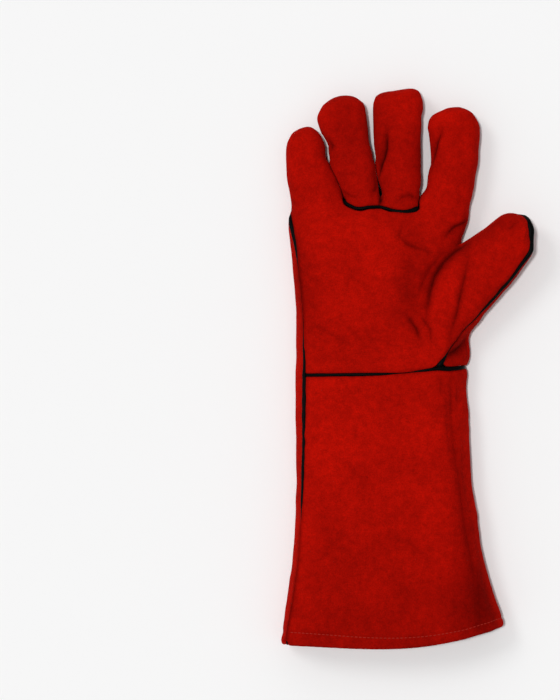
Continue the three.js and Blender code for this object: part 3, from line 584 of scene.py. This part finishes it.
# The hem: the leather turns in round a bend of this radius and lies back up inside, in steps of
# these heights. A groove is pressed where it is stitched down, which is higher above the hem at the
# little finger's side: place on X and height, in metres.
HEM_BEND = 0.0021
HEM_BEND_STEPS = 8
HEM_LEAF = (0.003, 0.006, 0.0095)
HEM_STITCHED = [(-0.085, 0.0098), (-0.02, 0.0082), (0.045, 0.0066)]
STITCH_GROOVE = 0.0005
GROOVE_WIDTH = 0.0013
# An edge along the hem rises less than this share of its length
HEM_LEVEL = 0.6
# How far above the hem the leather is looked at, and drawn up to make room for the bend
HEM_ZONE = 0.02
HEM_DRAWN = 0.007
# The stitched line of each panel, and the way out of the leather at each of its points
hem_runs = []


def hem_edges(piece):
    """The edges of a cuff panel's open boundary that run along its hem."""
    mesh = piece.data
    uses = {}
    for polygon in mesh.polygons:
        for key in polygon.edge_keys:
            uses[key] = uses.get(key, 0) + 1
    found = []
    for edge in mesh.edges:
        a, b = (mesh.vertices[i].co for i in edge.vertices)
        level = abs(a.y - b.y) < HEM_LEVEL * (a - b).length
        if uses[tuple(sorted(edge.vertices))] == 1 and max(a.y, b.y) < HEM_Y and level:
            found.append(edge.index)
    return found


def in_order(pairs):
    """The corners of a chain of edges, from one end to the other."""
    linked = {}
    for a, b in pairs:
        linked.setdefault(a, []).append(b)
        linked.setdefault(b, []).append(a)
    ends = sorted(corner for corner, others in linked.items() if len(others) == 1)
    chain = [ends[0]]
    while len(chain) < len(linked):
        chain.append(next(corner for corner in linked[chain[-1]] if corner not in chain[-2:]))
    return chain


def turn_hem(piece):
    """Presses the stitched groove, draws the hem's edge up by the bend, and rolls it in."""
    mesh = piece.data
    edges = hem_edges(piece)
    chain = in_order([tuple(mesh.edges[i].vertices) for i in edges])
    points, normals = read(piece, "co"), read(piece, "normal")
    edge_line = points[chain]
    along = np.gradient(edge_line, axis=0)
    along /= np.linalg.norm(along, axis=1)[:, None]
    out = normals[chain]
    down = np.cross(along, out)
    down /= np.linalg.norm(down, axis=1)[:, None]
    down *= -np.sign(down[:, 1])[:, None]
    near = np.nonzero(points[:, 1] < HEM_Y + HEM_ZONE)[0]
    faces = [list(polygon.vertices) for polygon in mesh.polygons]
    skin = BVHTree.FromPolygons([Vector(point) for point in points], faces)
    above = np.interp(edge_line[:, 0], *np.array(HEM_STITCHED).T)[:, None]
    stitched = [skin.find_nearest(Vector(point)) for point in edge_line - down * above]
    run = np.array([item[0] for item in stitched])
    hem_runs.append((run, np.array([item[1] for item in stitched])))
    for i in near:
        gaps = np.linalg.norm(run - points[i], axis=1)
        nearest = int(np.argmin(gaps))
        points[i] -= normals[i] * STITCH_GROOVE * math.exp(-(gaps[nearest] / GROOVE_WIDTH) ** 2)
        from_edge = np.linalg.norm(edge_line - points[i], axis=1)
        nearest = int(np.argmin(from_edge))
        points[i] -= down[nearest] * HEM_BEND * max(0, 1 - from_edge[nearest] / HEM_DRAWN)
    write(piece, points)
    base = points[chain]
    turns = [math.pi * (i + 1) / HEM_BEND_STEPS for i in range(HEM_BEND_STEPS)]
    rings = [
        base + HEM_BEND * (out * (math.cos(turn) - 1) + down * math.sin(turn)) for turn in turns
    ]
    ways = [out * math.cos(turn) + down * math.sin(turn) for turn in turns]
    rings += [rings[-1] - down * leaf for leaf in HEM_LEAF]
    ways += [-out for _ in HEM_LEAF]
    select_only(piece)
    bpy.context.tool_settings.mesh_select_mode = (False, True, False)
    for item in (*mesh.vertices, *mesh.polygons):
        item.select = False
    chosen = set(edges)
    for edge in mesh.edges:
        edge.select = edge.index in chosen
    wall_way = list(wall_ways[piece.name])
    for before, ring, way in zip([base, *rings], rings, ways):
        bpy.ops.object.mode_set(mode="EDIT")
        bpy.ops.mesh.extrude_edges_move(TRANSFORM_OT_translate={"value": (0, 0, 0)})
        bpy.ops.object.mode_set(mode="OBJECT")
        for vertex in mesh.vertices:
            if vertex.select:
                place = np.array(vertex.co)
                nearest = int(np.argmin(np.linalg.norm(before - place, axis=1)))
                vertex.co = ring[nearest]
                wall_way.append(way[nearest])
    wall_ways[piece.name] = np.array(wall_way)


# The leather's thickness in metres, and the angle in degrees under which an edge looks smooth
LEATHER = 0.0018
SMOOTH_BELOW = 50


def finish_leather(piece, node):
    """Gives a panel its thickness, inwards, and hangs it on the frame."""
    apply_modifier(piece, "SOLIDIFY", thickness=LEATHER, offset=-1, use_rim=True)
    points = read(piece, "co")
    outside = len(points) // 2
    points[outside:] = points[:outside] - wall_ways[piece.name] * LEATHER
    write(piece, points)
    select_only(piece)
    bpy.ops.object.shade_smooth_by_angle(angle=math.radians(SMOOTH_BELOW))
    piece.data.materials.append(red_suede)
    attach(piece, "root")
    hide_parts(node)


def node_at(tree, kind, x, y, **settings):
    item = tree.nodes.new(kind)
    item.location = (x, y)
    for key, value in settings.items():
        setattr(item, key, value)
    return item


def set_inputs(item, **values):
    """Sets a node's inputs, with _ in their names for a blank."""
    for name, value in values.items():
        item.inputs[name.replace("_", " ")].default_value = value


def noise_node(tree, x, y, place, scale, detail, rough):
    """A noise on some coordinates, as the socket that it comes out of."""
    item = node_at(tree, "ShaderNodeTexNoise", x, y)
    set_inputs(item, Scale=scale, Detail=detail, Roughness=rough)
    tree.links.new(place, item.inputs["Vector"])
    return item.outputs["Fac"]


# Most of a noise's values lie between these
NOISE_MIDDLE = (0.3, 0.7)


def mapped(tree, x, y, source, given, wanted):
    """Spreads the range given of a value over the range wanted."""
    item = node_at(tree, "ShaderNodeMapRange", x, y)
    set_inputs(item, From_Min=given[0], From_Max=given[1], To_Min=wanted[0], To_Max=wanted[1])
    tree.links.new(source, item.inputs["Value"])
    return item.outputs["Result"]


def multiplied(tree, x, y, first, second):
    item = node_at(tree, "ShaderNodeMath", x, y, operation="MULTIPLY")
    for socket, value in zip(item.inputs, (first, second)):
        if isinstance(value, float):
            socket.default_value = value
        else:
            tree.links.new(value, socket)
    return item.outputs[0]


# The nap's noises, as scale, detail, roughness and range of shades: parts brushed one way or the
# other, blotches, grain, and fibres, which are drawn out along the leather
NAP_NOISES = [
    (26, 3, 0.5, (0.85, 1.15)),
    (210, 5, 0.7, (0.82, 1.18)),
    (900, 4, 0.65, (0.8, 1.2)),
    (2600, 3, 0.6, (0.93, 1.07)),
]
FIBRE_SCALE = (1.0, 0.4, 1.0)
FIBRE_TURN = 20
FIBRE_HEIGHT = 0.5
# How far the painted shade darkens the colour, from none to full
PAINTED_SHADE_RANGE = (1, 0.15)
NAP_SOCKETS = [
    ("Place", "INPUT", "NodeSocketVector"),
    ("Colour", "INPUT", "NodeSocketColor"),
    ("Shade", "INPUT", "NodeSocketFloat"),
    ("Colour", "OUTPUT", "NodeSocketColor"),
    ("Height", "OUTPUT", "NodeSocketFloat"),
]


def make_nap_and_shade_group():
    """Nap of split leather: its colour, varied by its noises and darkened by the painted shade,
    and its height.
    """
    group = bpy.data.node_groups.new("leather_nap_and_painted_shade", "ShaderNodeTree")
    for name, way, kind in NAP_SOCKETS:
        group.interface.new_socket(name, in_out=way, socket_type=kind)
    link = group.links.new
    given = node_at(group, "NodeGroupInput", -1100, 0)
    result = node_at(group, "NodeGroupOutput", 700, 0)
    drawn_out = node_at(group, "ShaderNodeMapping", -850, -300)
    set_inputs(drawn_out, Scale=FIBRE_SCALE, Rotation=(0, 0, math.radians(FIBRE_TURN)))
    link(given.outputs["Place"], drawn_out.inputs["Vector"])
    places = [given.outputs["Place"]] * 3 + [drawn_out.outputs["Vector"]]
    noises, shades = [], []
    for row, (place, (scale, detail, rough, wanted)) in enumerate(zip(places, NAP_NOISES)):
        up = 300 - 200 * row
        noises.append(noise_node(group, -650, up, place, scale, detail, rough))
        shades.append(mapped(group, -400, up, noises[-1], NOISE_MIDDLE, wanted))
    # The painted shade darkens the colour
    shades.append(mapped(group, -400, 500, given.outputs["Shade"], (0, 1), PAINTED_SHADE_RANGE))
    value = shades[0]
    for i, shade in enumerate(shades[1:]):
        value = multiplied(group, -150 + 130 * i, 200, value, shade)
    tint = node_at(group, "ShaderNodeVectorMath", 450, 100, operation="SCALE")
    link(given.outputs["Colour"], tint.inputs[0])
    link(value, tint.inputs["Scale"])
    link(tint.outputs["Vector"], result.inputs["Colour"])
    grain, fibre = noises[2:]
    height = node_at(group, "ShaderNodeMath", 100, -300, operation="ADD")
    link(multiplied(group, -100, -300, fibre, FIBRE_HEIGHT), height.inputs[0])
    link(grain, height.inputs[1])
    link(height.outputs[0], result.inputs["Height"])
    return group


leather_nap_and_painted_shade = make_nap_and_shade_group()


def new_material(name, strength, distance):
    """A material: itself, its tree, its Object coordinates, its surface, and the bump on it."""
    material = bpy.data.materials.new(name)
    material.use_nodes = True
    tree = material.node_tree
    tree.nodes.clear()
    place = node_at(tree, "ShaderNodeTexCoord", -900, 0)
    bump = node_at(tree, "ShaderNodeBump", -250, -250)
    set_inputs(bump, Strength=strength, Distance=distance)
    surface = node_at(tree, "ShaderNodeBsdfPrincipled", 0, 0)
    output = node_at(tree, "ShaderNodeOutputMaterial", 300, 0)
    tree.links.new(bump.outputs["Normal"], surface.inputs["Normal"])
    tree.links.new(surface.outputs["BSDF"], output.inputs["Surface"])
    return material, tree, place.outputs["Object"], surface, bump


SUEDE_RED = (0.37, 0.0034, 0.0008, 1)


def make_suede():
    material, tree, place, surface, bump = new_material("red_suede", strength=0.55, distance=0.0004)
    # The shade painted on the panel
    painted_shade = node_at(tree, "ShaderNodeAttribute", -900, -250, attribute_name="painted_shade")
    nap = node_at(tree, "ShaderNodeGroup", -500, 0, node_tree=leather_nap_and_painted_shade)
    set_inputs(nap, Colour=SUEDE_RED)
    set_inputs(surface, Roughness=0.95, Specular_IOR_Level=0.02)
    set_inputs(surface, Sheen_Weight=0.05, Sheen_Roughness=0.5, Sheen_Tint=(1, 0.05, 0.03, 1))
    tree.links.new(place, nap.inputs["Place"])
    tree.links.new(painted_shade.outputs["Fac"], nap.inputs["Shade"])
    tree.links.new(nap.outputs["Colour"], surface.inputs["Base Color"])
    tree.links.new(nap.outputs["Height"], bump.inputs["Height"])
    return material


red_suede = make_suede()

# Creases are a path in mm, with its depth, width and lip in mm, as crease_moves takes them
BACK_CREASES = [
    ([(-52, 60), (-50, 20), (-47, -20)], 1.2, 4.0, 0.3),
    ([(-18, 70), (-19, 25), (-15, -15)], 1.2, 4.0, -0.3),
    ([(-70, -8), (-40, 4), (-12, 8)], 1.4, 2.5, 0.5),
    ([(-70, 122), (-60, 116), (-48, 118)], 0.7, 2.0, 0.2),
    ([(-2, 116), (10, 112), (24, 117)], 0.7, 2.0, 0.2),
    ([(-60, -80), (-45, -88), (-25, -86)], 0.7, 3.5, 0.2),
]
back = leather_panel("back", levels=2)
shape_leather(back, BACK_CREASES, upward=-1, seed=1)
turn_hem(back)
finish_leather(back, "back")


# The palm: one cut for the palm and for the fronts of the little finger, the index finger and the
# thumb. Bending the hand has pressed creases into it, the deepest round the thumb's root.

PALM_CREASES = [
    ([(41, 93), (36.5, 89), (30.5, 83), (25, 76), (20.3, 67), (17, 56), (14.2, 44.5), (12, 34)],
     3.6, 2.3, -1.3),
    ([(32, 88), (23, 82), (16, 73), (12, 62), (8, 50)], 0.8, 4.5, 0.2),
    ([(41.5, 82), (39.5, 70.5), (36.2, 55.4), (32.8, 38.7), (28, 20)], 2.0, 3.4, -0.6),
    ([(25, 95), (31.5, 102.7), (40, 107.5)], 1.9, 1.6, -0.4),
    ([(-6.3, 103.3), (-8.7, 96), (-2.9, 90.9), (5.4, 88), (19, 82.5)], 1.2, 2.2, -0.4),
    ([(0, 80), (-3, 60), (-1, 36)], 0.6, 12.0, 0),
    ([(-2.9, 38), (4.2, 28.4), (7.1, 19)], 1.8, 1.9, -0.6),
    ([(7.1, 38.6), (14.3, 28), (15, 17)], 1.4, 1.9, -0.4),
    ([(-73.1, 32.7), (-59.3, 25.5), (-45, 17)], 0.9, 3.4, 0.2),
    ([(23.5, 173.5), (19.2, 163.6), (16.3, 153.4), (13.6, 145)], 2.3, 1.7, -0.8),
    ([(79.5, 107.6), (74.4, 104), (70.1, 99.6)], 0.8, 2.2, 0.2),
]
palm = leather_panel("palm", levels=3)
shape_leather(palm, PALM_CREASES, upward=1, seed=11)
finish_leather(palm, "palm")


# The fronts of the ring and middle fingers, cut as one piece and set into the palm along the cross
# seam at their base.

MIDDLE_CREASES = [
    ([(-17.1, 173), (-17.6, 159.2), (-19.5, 152), (-24.6, 134), (-25.8, 129)], 2.9, 1.7, -1.0),
    ([(-20.8, 128.5), (-21.5, 122), (-22.9, 114.5)], 3.0, 1.0, 0.2),
    ([(-11.5, 120.3), (-6, 124.6), (-1.2, 125.8), (3.2, 124), (6.8, 122.2)], 1.4, 1.4, 0.7),
    ([(-60.1, 165.8), (-57.2, 161.4), (-57.9, 157.1)], 1.0, 1.5, -0.4),
    ([(-47.7, 129.4), (-42.6, 125.1), (-36.8, 124.3)], 0.9, 1.8, 0.3),
]
middle_fingers = leather_panel("middle_fingers_front", levels=3)
shape_leather(middle_fingers, MIDDLE_CREASES, upward=1, seed=21)
finish_leather(middle_fingers, "middle_fingers_front")


# The back of the thumb, a tapering piece between the thumb's welt and the closing seam, which runs
# down to the wrist seam. It is folded in under the thumb's bulge.

THUMB_BACK_CREASES = [
    ([(46, 23), (42.6, 19.5), (39.8, 16.2), (37.2, 14), (34.2, 11.8), (30.6, 9.8), (21, 6.5)],
     4.4, 4.2, -0.4),
]
thumb_back = leather_panel("thumb_back", levels=3)
shape_leather(thumb_back, THUMB_BACK_CREASES, upward=2, seed=31)
finish_leather(thumb_back, "thumb_back")


# The front of the cuff, sewn to the palm along the wrist seam. It turns down along the thumb's side
# and wraps under it to the closing seam.

CUFF_CREASES = [
    ([(29, -6), (31, -52.3), (34, -81.4), (38.1, -110.5), (43.2, -139.6), (47, -172)], 1.1, 6, 0),
    ([(48, -140), (50, -196)], 0.8, 13, 0),
    ([(24.5, -8), (26.5, -45), (29, -70)], 0.7, 3.5, 0),
    ([(36, -40), (37.5, -75), (41.5, -110)], 0.7, 3.0, 0),
    ([(22.1, -2.9), (21.4, -22)], 0.7, 2.4, 0.2),
    ([(28.6, -2.2), (29.2, -23), (30, -40)], 1.1, 2.4, 0.3),
    ([(33.7, -2.9), (33.7, -32.5)], 0.8, 2.2, 0.2),
    ([(-60, -60), (-42, -72), (-30, -92)], 0.6, 4.0, 0.2),
    ([(-20, -120), (-2, -126), (14, -140)], 0.6, 4.0, 0.2),
]
cuff = leather_panel("cuff_front", levels=3)
shape_leather(cuff, CUFF_CREASES, upward=1, seed=41)
turn_hem(cuff)
finish_leather(cuff, "cuff_front")


# The hem's stitches: one run of pale red thread through both layers of the turned hem, seen outside
# and inside.

# In metres, but for the number of sides and rings
THREAD_RADIUS = 0.00034
THREAD_SIDES = 8
THREAD_RINGS = 7
STITCH_LENGTH = 0.0023
STITCH_PITCH = 0.003
STITCH_SUNK = 0.00012
# How blunt a stitch's ends are, and how far and how suddenly they dip
END_BLUNT = 0.5
END_DIP = 0.6
END_SUDDEN = 4
THREAD_DARK = (0.3, 0.008, 0.005, 1)
THREAD_PALE = (0.4, 0.03, 0.02, 1)


def mix_colours(tree, surface, share, first, second):
    """Colours a surface with a mix of two colours."""
    colour = node_at(tree, "ShaderNodeMix", -250, 150, data_type="RGBA")
    set_inputs(colour, A=first, B=second)
    tree.links.new(share, colour.inputs["Factor"])
    tree.links.new(colour.outputs["Result"], surface.inputs["Base Color"])


def make_thread():
    material, tree, place, surface, bump = new_material("hem_thread", strength=0.5, distance=0.0001)
    set_inputs(surface, Roughness=0.7, Specular_IOR_Level=0.05)
    twist = node_at(tree, "ShaderNodeTexWave", -650, 100, bands_direction="DIAGONAL")
    set_inputs(twist, Scale=900, Distortion=2)
    tree.links.new(place, twist.inputs["Vector"])
    tree.links.new(twist.outputs["Fac"], bump.inputs["Height"])
    wear = noise_node(tree, -650, -200, place, scale=300, detail=3, rough=0.6)
    mix_colours(tree, surface, wear, THREAD_DARK, THREAD_PALE)
    return material


def one_stitch():
    """One stitch along X, with rounded ends that dip."""
    bpy.ops.object.select_all(action="DESELECT")
    bpy.ops.mesh.primitive_uv_sphere_add(
        segments=THREAD_SIDES, ring_count=THREAD_RINGS, radius=THREAD_RADIUS
    )
    stitch = bpy.context.object
    for vertex in stitch.data.vertices:
        x, y, z = vertex.co
        share = abs(z) / THREAD_RADIUS
        reach = math.copysign(STITCH_LENGTH / 2 * share ** END_BLUNT, z)
        vertex.co = (reach, y, -x - END_DIP * THREAD_RADIUS * share ** END_SUDDEN)
    return stitch


def spaced(run, ways):
    """Points a stitch apart along a run of points, with the ways that go with them."""
    lengths = np.concatenate([[0], np.cumsum(np.linalg.norm(np.diff(run, axis=0), axis=1))])
    stops = np.arange(STITCH_PITCH, lengths[-1] - STITCH_PITCH / 2, STITCH_PITCH)
    return [
        np.stack([np.interp(stops, lengths, rows[:, i]) for i in range(3)], axis=1)
        for rows in (run, ways)
    ]


stitch = one_stitch()
stitches = []
outer_sunk = STITCH_GROOVE + STITCH_SUNK - THREAD_RADIUS / 2
inner_sunk = 2 * HEM_BEND + THREAD_RADIUS
for run, normals in hem_runs:
    places, ups = spaced(run, normals)
    along = np.gradient(places, axis=0)
    for place, up, way in zip(places, ups, along):
        up = Vector(up).normalized()
        way = Vector(way).normalized()
        aside = up.cross(way).normalized()
        for sign, sunk in ((1, outer_sunk), (-1, inner_sunk)):
            copy = bpy.data.objects.new("stitch", stitch.data.copy())
            bpy.context.collection.objects.link(copy)
            centre = Vector(place) - up * sunk
            for vertex in copy.data.vertices:
                x, y, z = vertex.co
                vertex.co = centre + way * x + sign * (aside * y + up * z)
            stitches.append(copy)
bpy.data.objects.remove(stitch)
select_only(stitches[0])
for copy in stitches:
    copy.select_set(True)
bpy.ops.object.join()
hem_stitches = bpy.context.object
hem_stitches.name = "hem_stitches"
hem_stitches.data.name = "hem_stitches"
bpy.ops.object.shade_smooth()
hem_stitches.data.materials.append(make_thread())
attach(hem_stitches, "root")


# The welts: strips of thin black leather folded double and caught in the seams, so that a smooth
# rounded ridge stands out between the panels and keeps sparks off the thread.

WELT_BLACK = (0.001, 0.0012, 0.0012, 1)
WELT_WORN = (0.003, 0.0034, 0.0034, 1)
WELT_ROUGHNESS = (0.32, 0.6)


def make_black_leather():
    material, tree, place, surface, bump = new_material("black_welt", strength=0.4, distance=0.0003)
    set_inputs(surface, Specular_IOR_Level=0.025)
    crumple = noise_node(tree, -650, 200, place, scale=260, detail=4, rough=0.6)
    pores = noise_node(tree, -650, -150, place, scale=1500, detail=4, rough=0.6)
    mix_colours(tree, surface, crumple, WELT_BLACK, WELT_WORN)
    roughness = mapped(tree, -250, 0, crumple, NOISE_MIDDLE, WELT_ROUGHNESS)
    tree.links.new(roughness, surface.inputs["Roughness"])
    tree.links.new(pores, bump.inputs["Height"])
    return material


black_leather = make_black_leather()
skin_tree = BVHTree.FromPolygons(
    [corner for face in outer_skin for corner in face],
    [(3 * i, 3 * i + 1, 3 * i + 2) for i in range(len(outer_skin))],
)

# A welt swells where it is free, and is sunk and thinner where the leather closes over it. Its
# crumples are height in metres and lumps per metre, and its cells bend less than so many degrees.
WELT_PUFF = 0.00022
WELT_SUNK = 0.0014
WELT_SHRUNK = 0.0006
WELT_CRUMPLES = [(0.00018, 160), (0.0001, 500)]
WELT_BEND = 40
WELT_LEVELS = 2
WELT_SEED = 51

# Where a welt stands out wider than elsewhere: place in plan, radius and swelling, in mm
WELT_SWELLINGS = [
    (-86.2, 103, 9, 0.55), (86, 105, 8, 0.75), (88.2, 94.5, 8, 1.4), (85.3, 82.9, 7, 0.45),
    (77, 70, 9, 0.2), (22.4, 1.6, 2.6, 0.7), (24, -1, 7, 0.3), (-22.3, 131, 6, 0.5),
    (-3, 114.5, 6, 0.35), (3, 115, 4, 0.4), (32, 0, 6, 0.3), (-44, -5, 14, 0.15),
    (-77, -27, 22, 0.15), (-47, 119, 5, 0.3), (4.5, 116, 4, 0.8), (-80, 60, 22, -0.2),
]

# Where a welt's end is drawn to: place and shift in plan, and how far round the place, in mm
WELT_ENDS = {
    "welt_thumb": [(20.5, 1.5, -1.2, -1.8)],
    "welt_wrist": [(40, 1, -1.9, 0)],
    "welt_finger_base": [(7.5, 121.5, -1, -4)],
}
WELT_END_REACH = 3


def folded_welt(node, seed):
    """A welt's solid, rounded, made good for the width that rounding takes, crumpled a little, and
    sunk where the leather closes over it."""
    piece = merged_copy(node, "strip_" + node)
    bpy.ops.object.mode_set(mode="EDIT")
    join_triangles(WELT_BEND)
    apply_modifier(piece, "SUBSURF", levels=WELT_LEVELS, render_levels=WELT_LEVELS)
    points, normals = read(piece, "co"), read(piece, "normal")
    closed = closed_share(points)
    height = WELT_PUFF * (1 - closed) - WELT_SHRUNK * closed
    for number, (rise, scale) in enumerate(WELT_CRUMPLES):
        height += rise * lumps(points, scale, seed + number)
    for x, y, radius, swelling in WELT_SWELLINGS:
        height += swelling / MM * share_near(points, x, y, radius)
    for x, y, shift_x, shift_y in WELT_ENDS.get(node, ()):
        share = share_near(points, x, y, WELT_END_REACH)[:, None]
        points[:, :2] += share * np.array([shift_x, shift_y]) / MM
    skin = np.array([skin_tree.find_nearest(Vector(point))[1] for point in points])
    points += normals * height[:, None] - skin * (WELT_SUNK * closed)[:, None]
    settle(points)
    write(piece, points)
    select_only(piece)
    bpy.ops.object.shade_smooth()
    piece.data.materials.append(black_leather)
    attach(piece, "root")
    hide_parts(node)


for number, welt in enumerate(WELTS):
    folded_welt(welt, WELT_SEED + number)


# A pale sheet under the gauntlet, the soft light of a studio tent that is brighter at its left, and
# the camera straight above.

VIEW_X, VIEW_Y = -0.095, 0.0131
FLOOR_SIZE = 8
PAPER_WHITE = (0.9, 0.9, 0.9, 1)
bpy.ops.mesh.primitive_plane_add(size=FLOOR_SIZE, location=(VIEW_X, VIEW_Y, 0))
floor = bpy.context.object
floor.name = "floor"
paper = bpy.data.materials.new("paper")
paper.use_nodes = True
paper_surface = paper.node_tree.nodes["Principled BSDF"]
set_inputs(paper_surface, Base_Color=PAPER_WHITE, Roughness=0.9, Specular_IOR_Level=0.1)
floor.data.materials.append(paper)

BRIGHT_SIDE = Vector((-0.86, 0.32, 0.36)).normalized()
TENT_LIGHT = (0.17, 0.6)
tent = bpy.data.worlds.new("tent")
tent.use_nodes = True
tent_tree = tent.node_tree
background = tent_tree.nodes["Background"]
sky_place = node_at(tent_tree, "ShaderNodeTexCoord", -900, 0)
sky_side = node_at(tent_tree, "ShaderNodeVectorMath", -650, 0, operation="DOT_PRODUCT")
sky_side.inputs[1].default_value = BRIGHT_SIDE
tent_tree.links.new(sky_place.outputs["Generated"], sky_side.inputs[0])
sky = mapped(tent_tree, -400, 0, sky_side.outputs["Value"], (-1, 1), TENT_LIGHT)
tent_tree.links.new(sky, background.inputs["Strength"])
set_inputs(background, Color=(1, 1, 1, 1))
bpy.context.scene.world = tent

# Name, energy, the angle it is seen at in degrees, and the way it stands
LAMPS = [
    ("key", 0.5, 20, (-0.52, 0.38, 0.77)),
    ("top", 1.5, 4, (-0.12, 0.04, 1.0)),
]
for name, energy, angle, way in LAMPS:
    lamp = bpy.data.lights.new(name, "SUN")
    lamp.energy = energy
    lamp.angle = math.radians(angle)
    lamp_object = bpy.data.objects.new(name, lamp)
    bpy.context.collection.objects.link(lamp_object)
    lamp_object.rotation_euler = Vector(way).to_track_quat("Z", "Y").to_euler()

# Halfway up the gauntlet, the picture is this high in metres
CAMERA_HEIGHT = 4.02
MIDDLE_HEIGHT = 0.02
SEEN_HEIGHT = 0.5089
SENSOR = 36
CLIP_END = 20
camera = bpy.data.objects.new("camera", bpy.data.cameras.new("camera"))
bpy.context.collection.objects.link(camera)
camera.location = (VIEW_X, VIEW_Y, CAMERA_HEIGHT)
camera.data.sensor_width = SENSOR
camera.data.lens = SENSOR * (CAMERA_HEIGHT - MIDDLE_HEIGHT) / SEEN_HEIGHT
camera.data.clip_end = CLIP_END
bpy.context.scene.camera = camera
bpy.context.scene.view_settings.view_transform = "Standard"
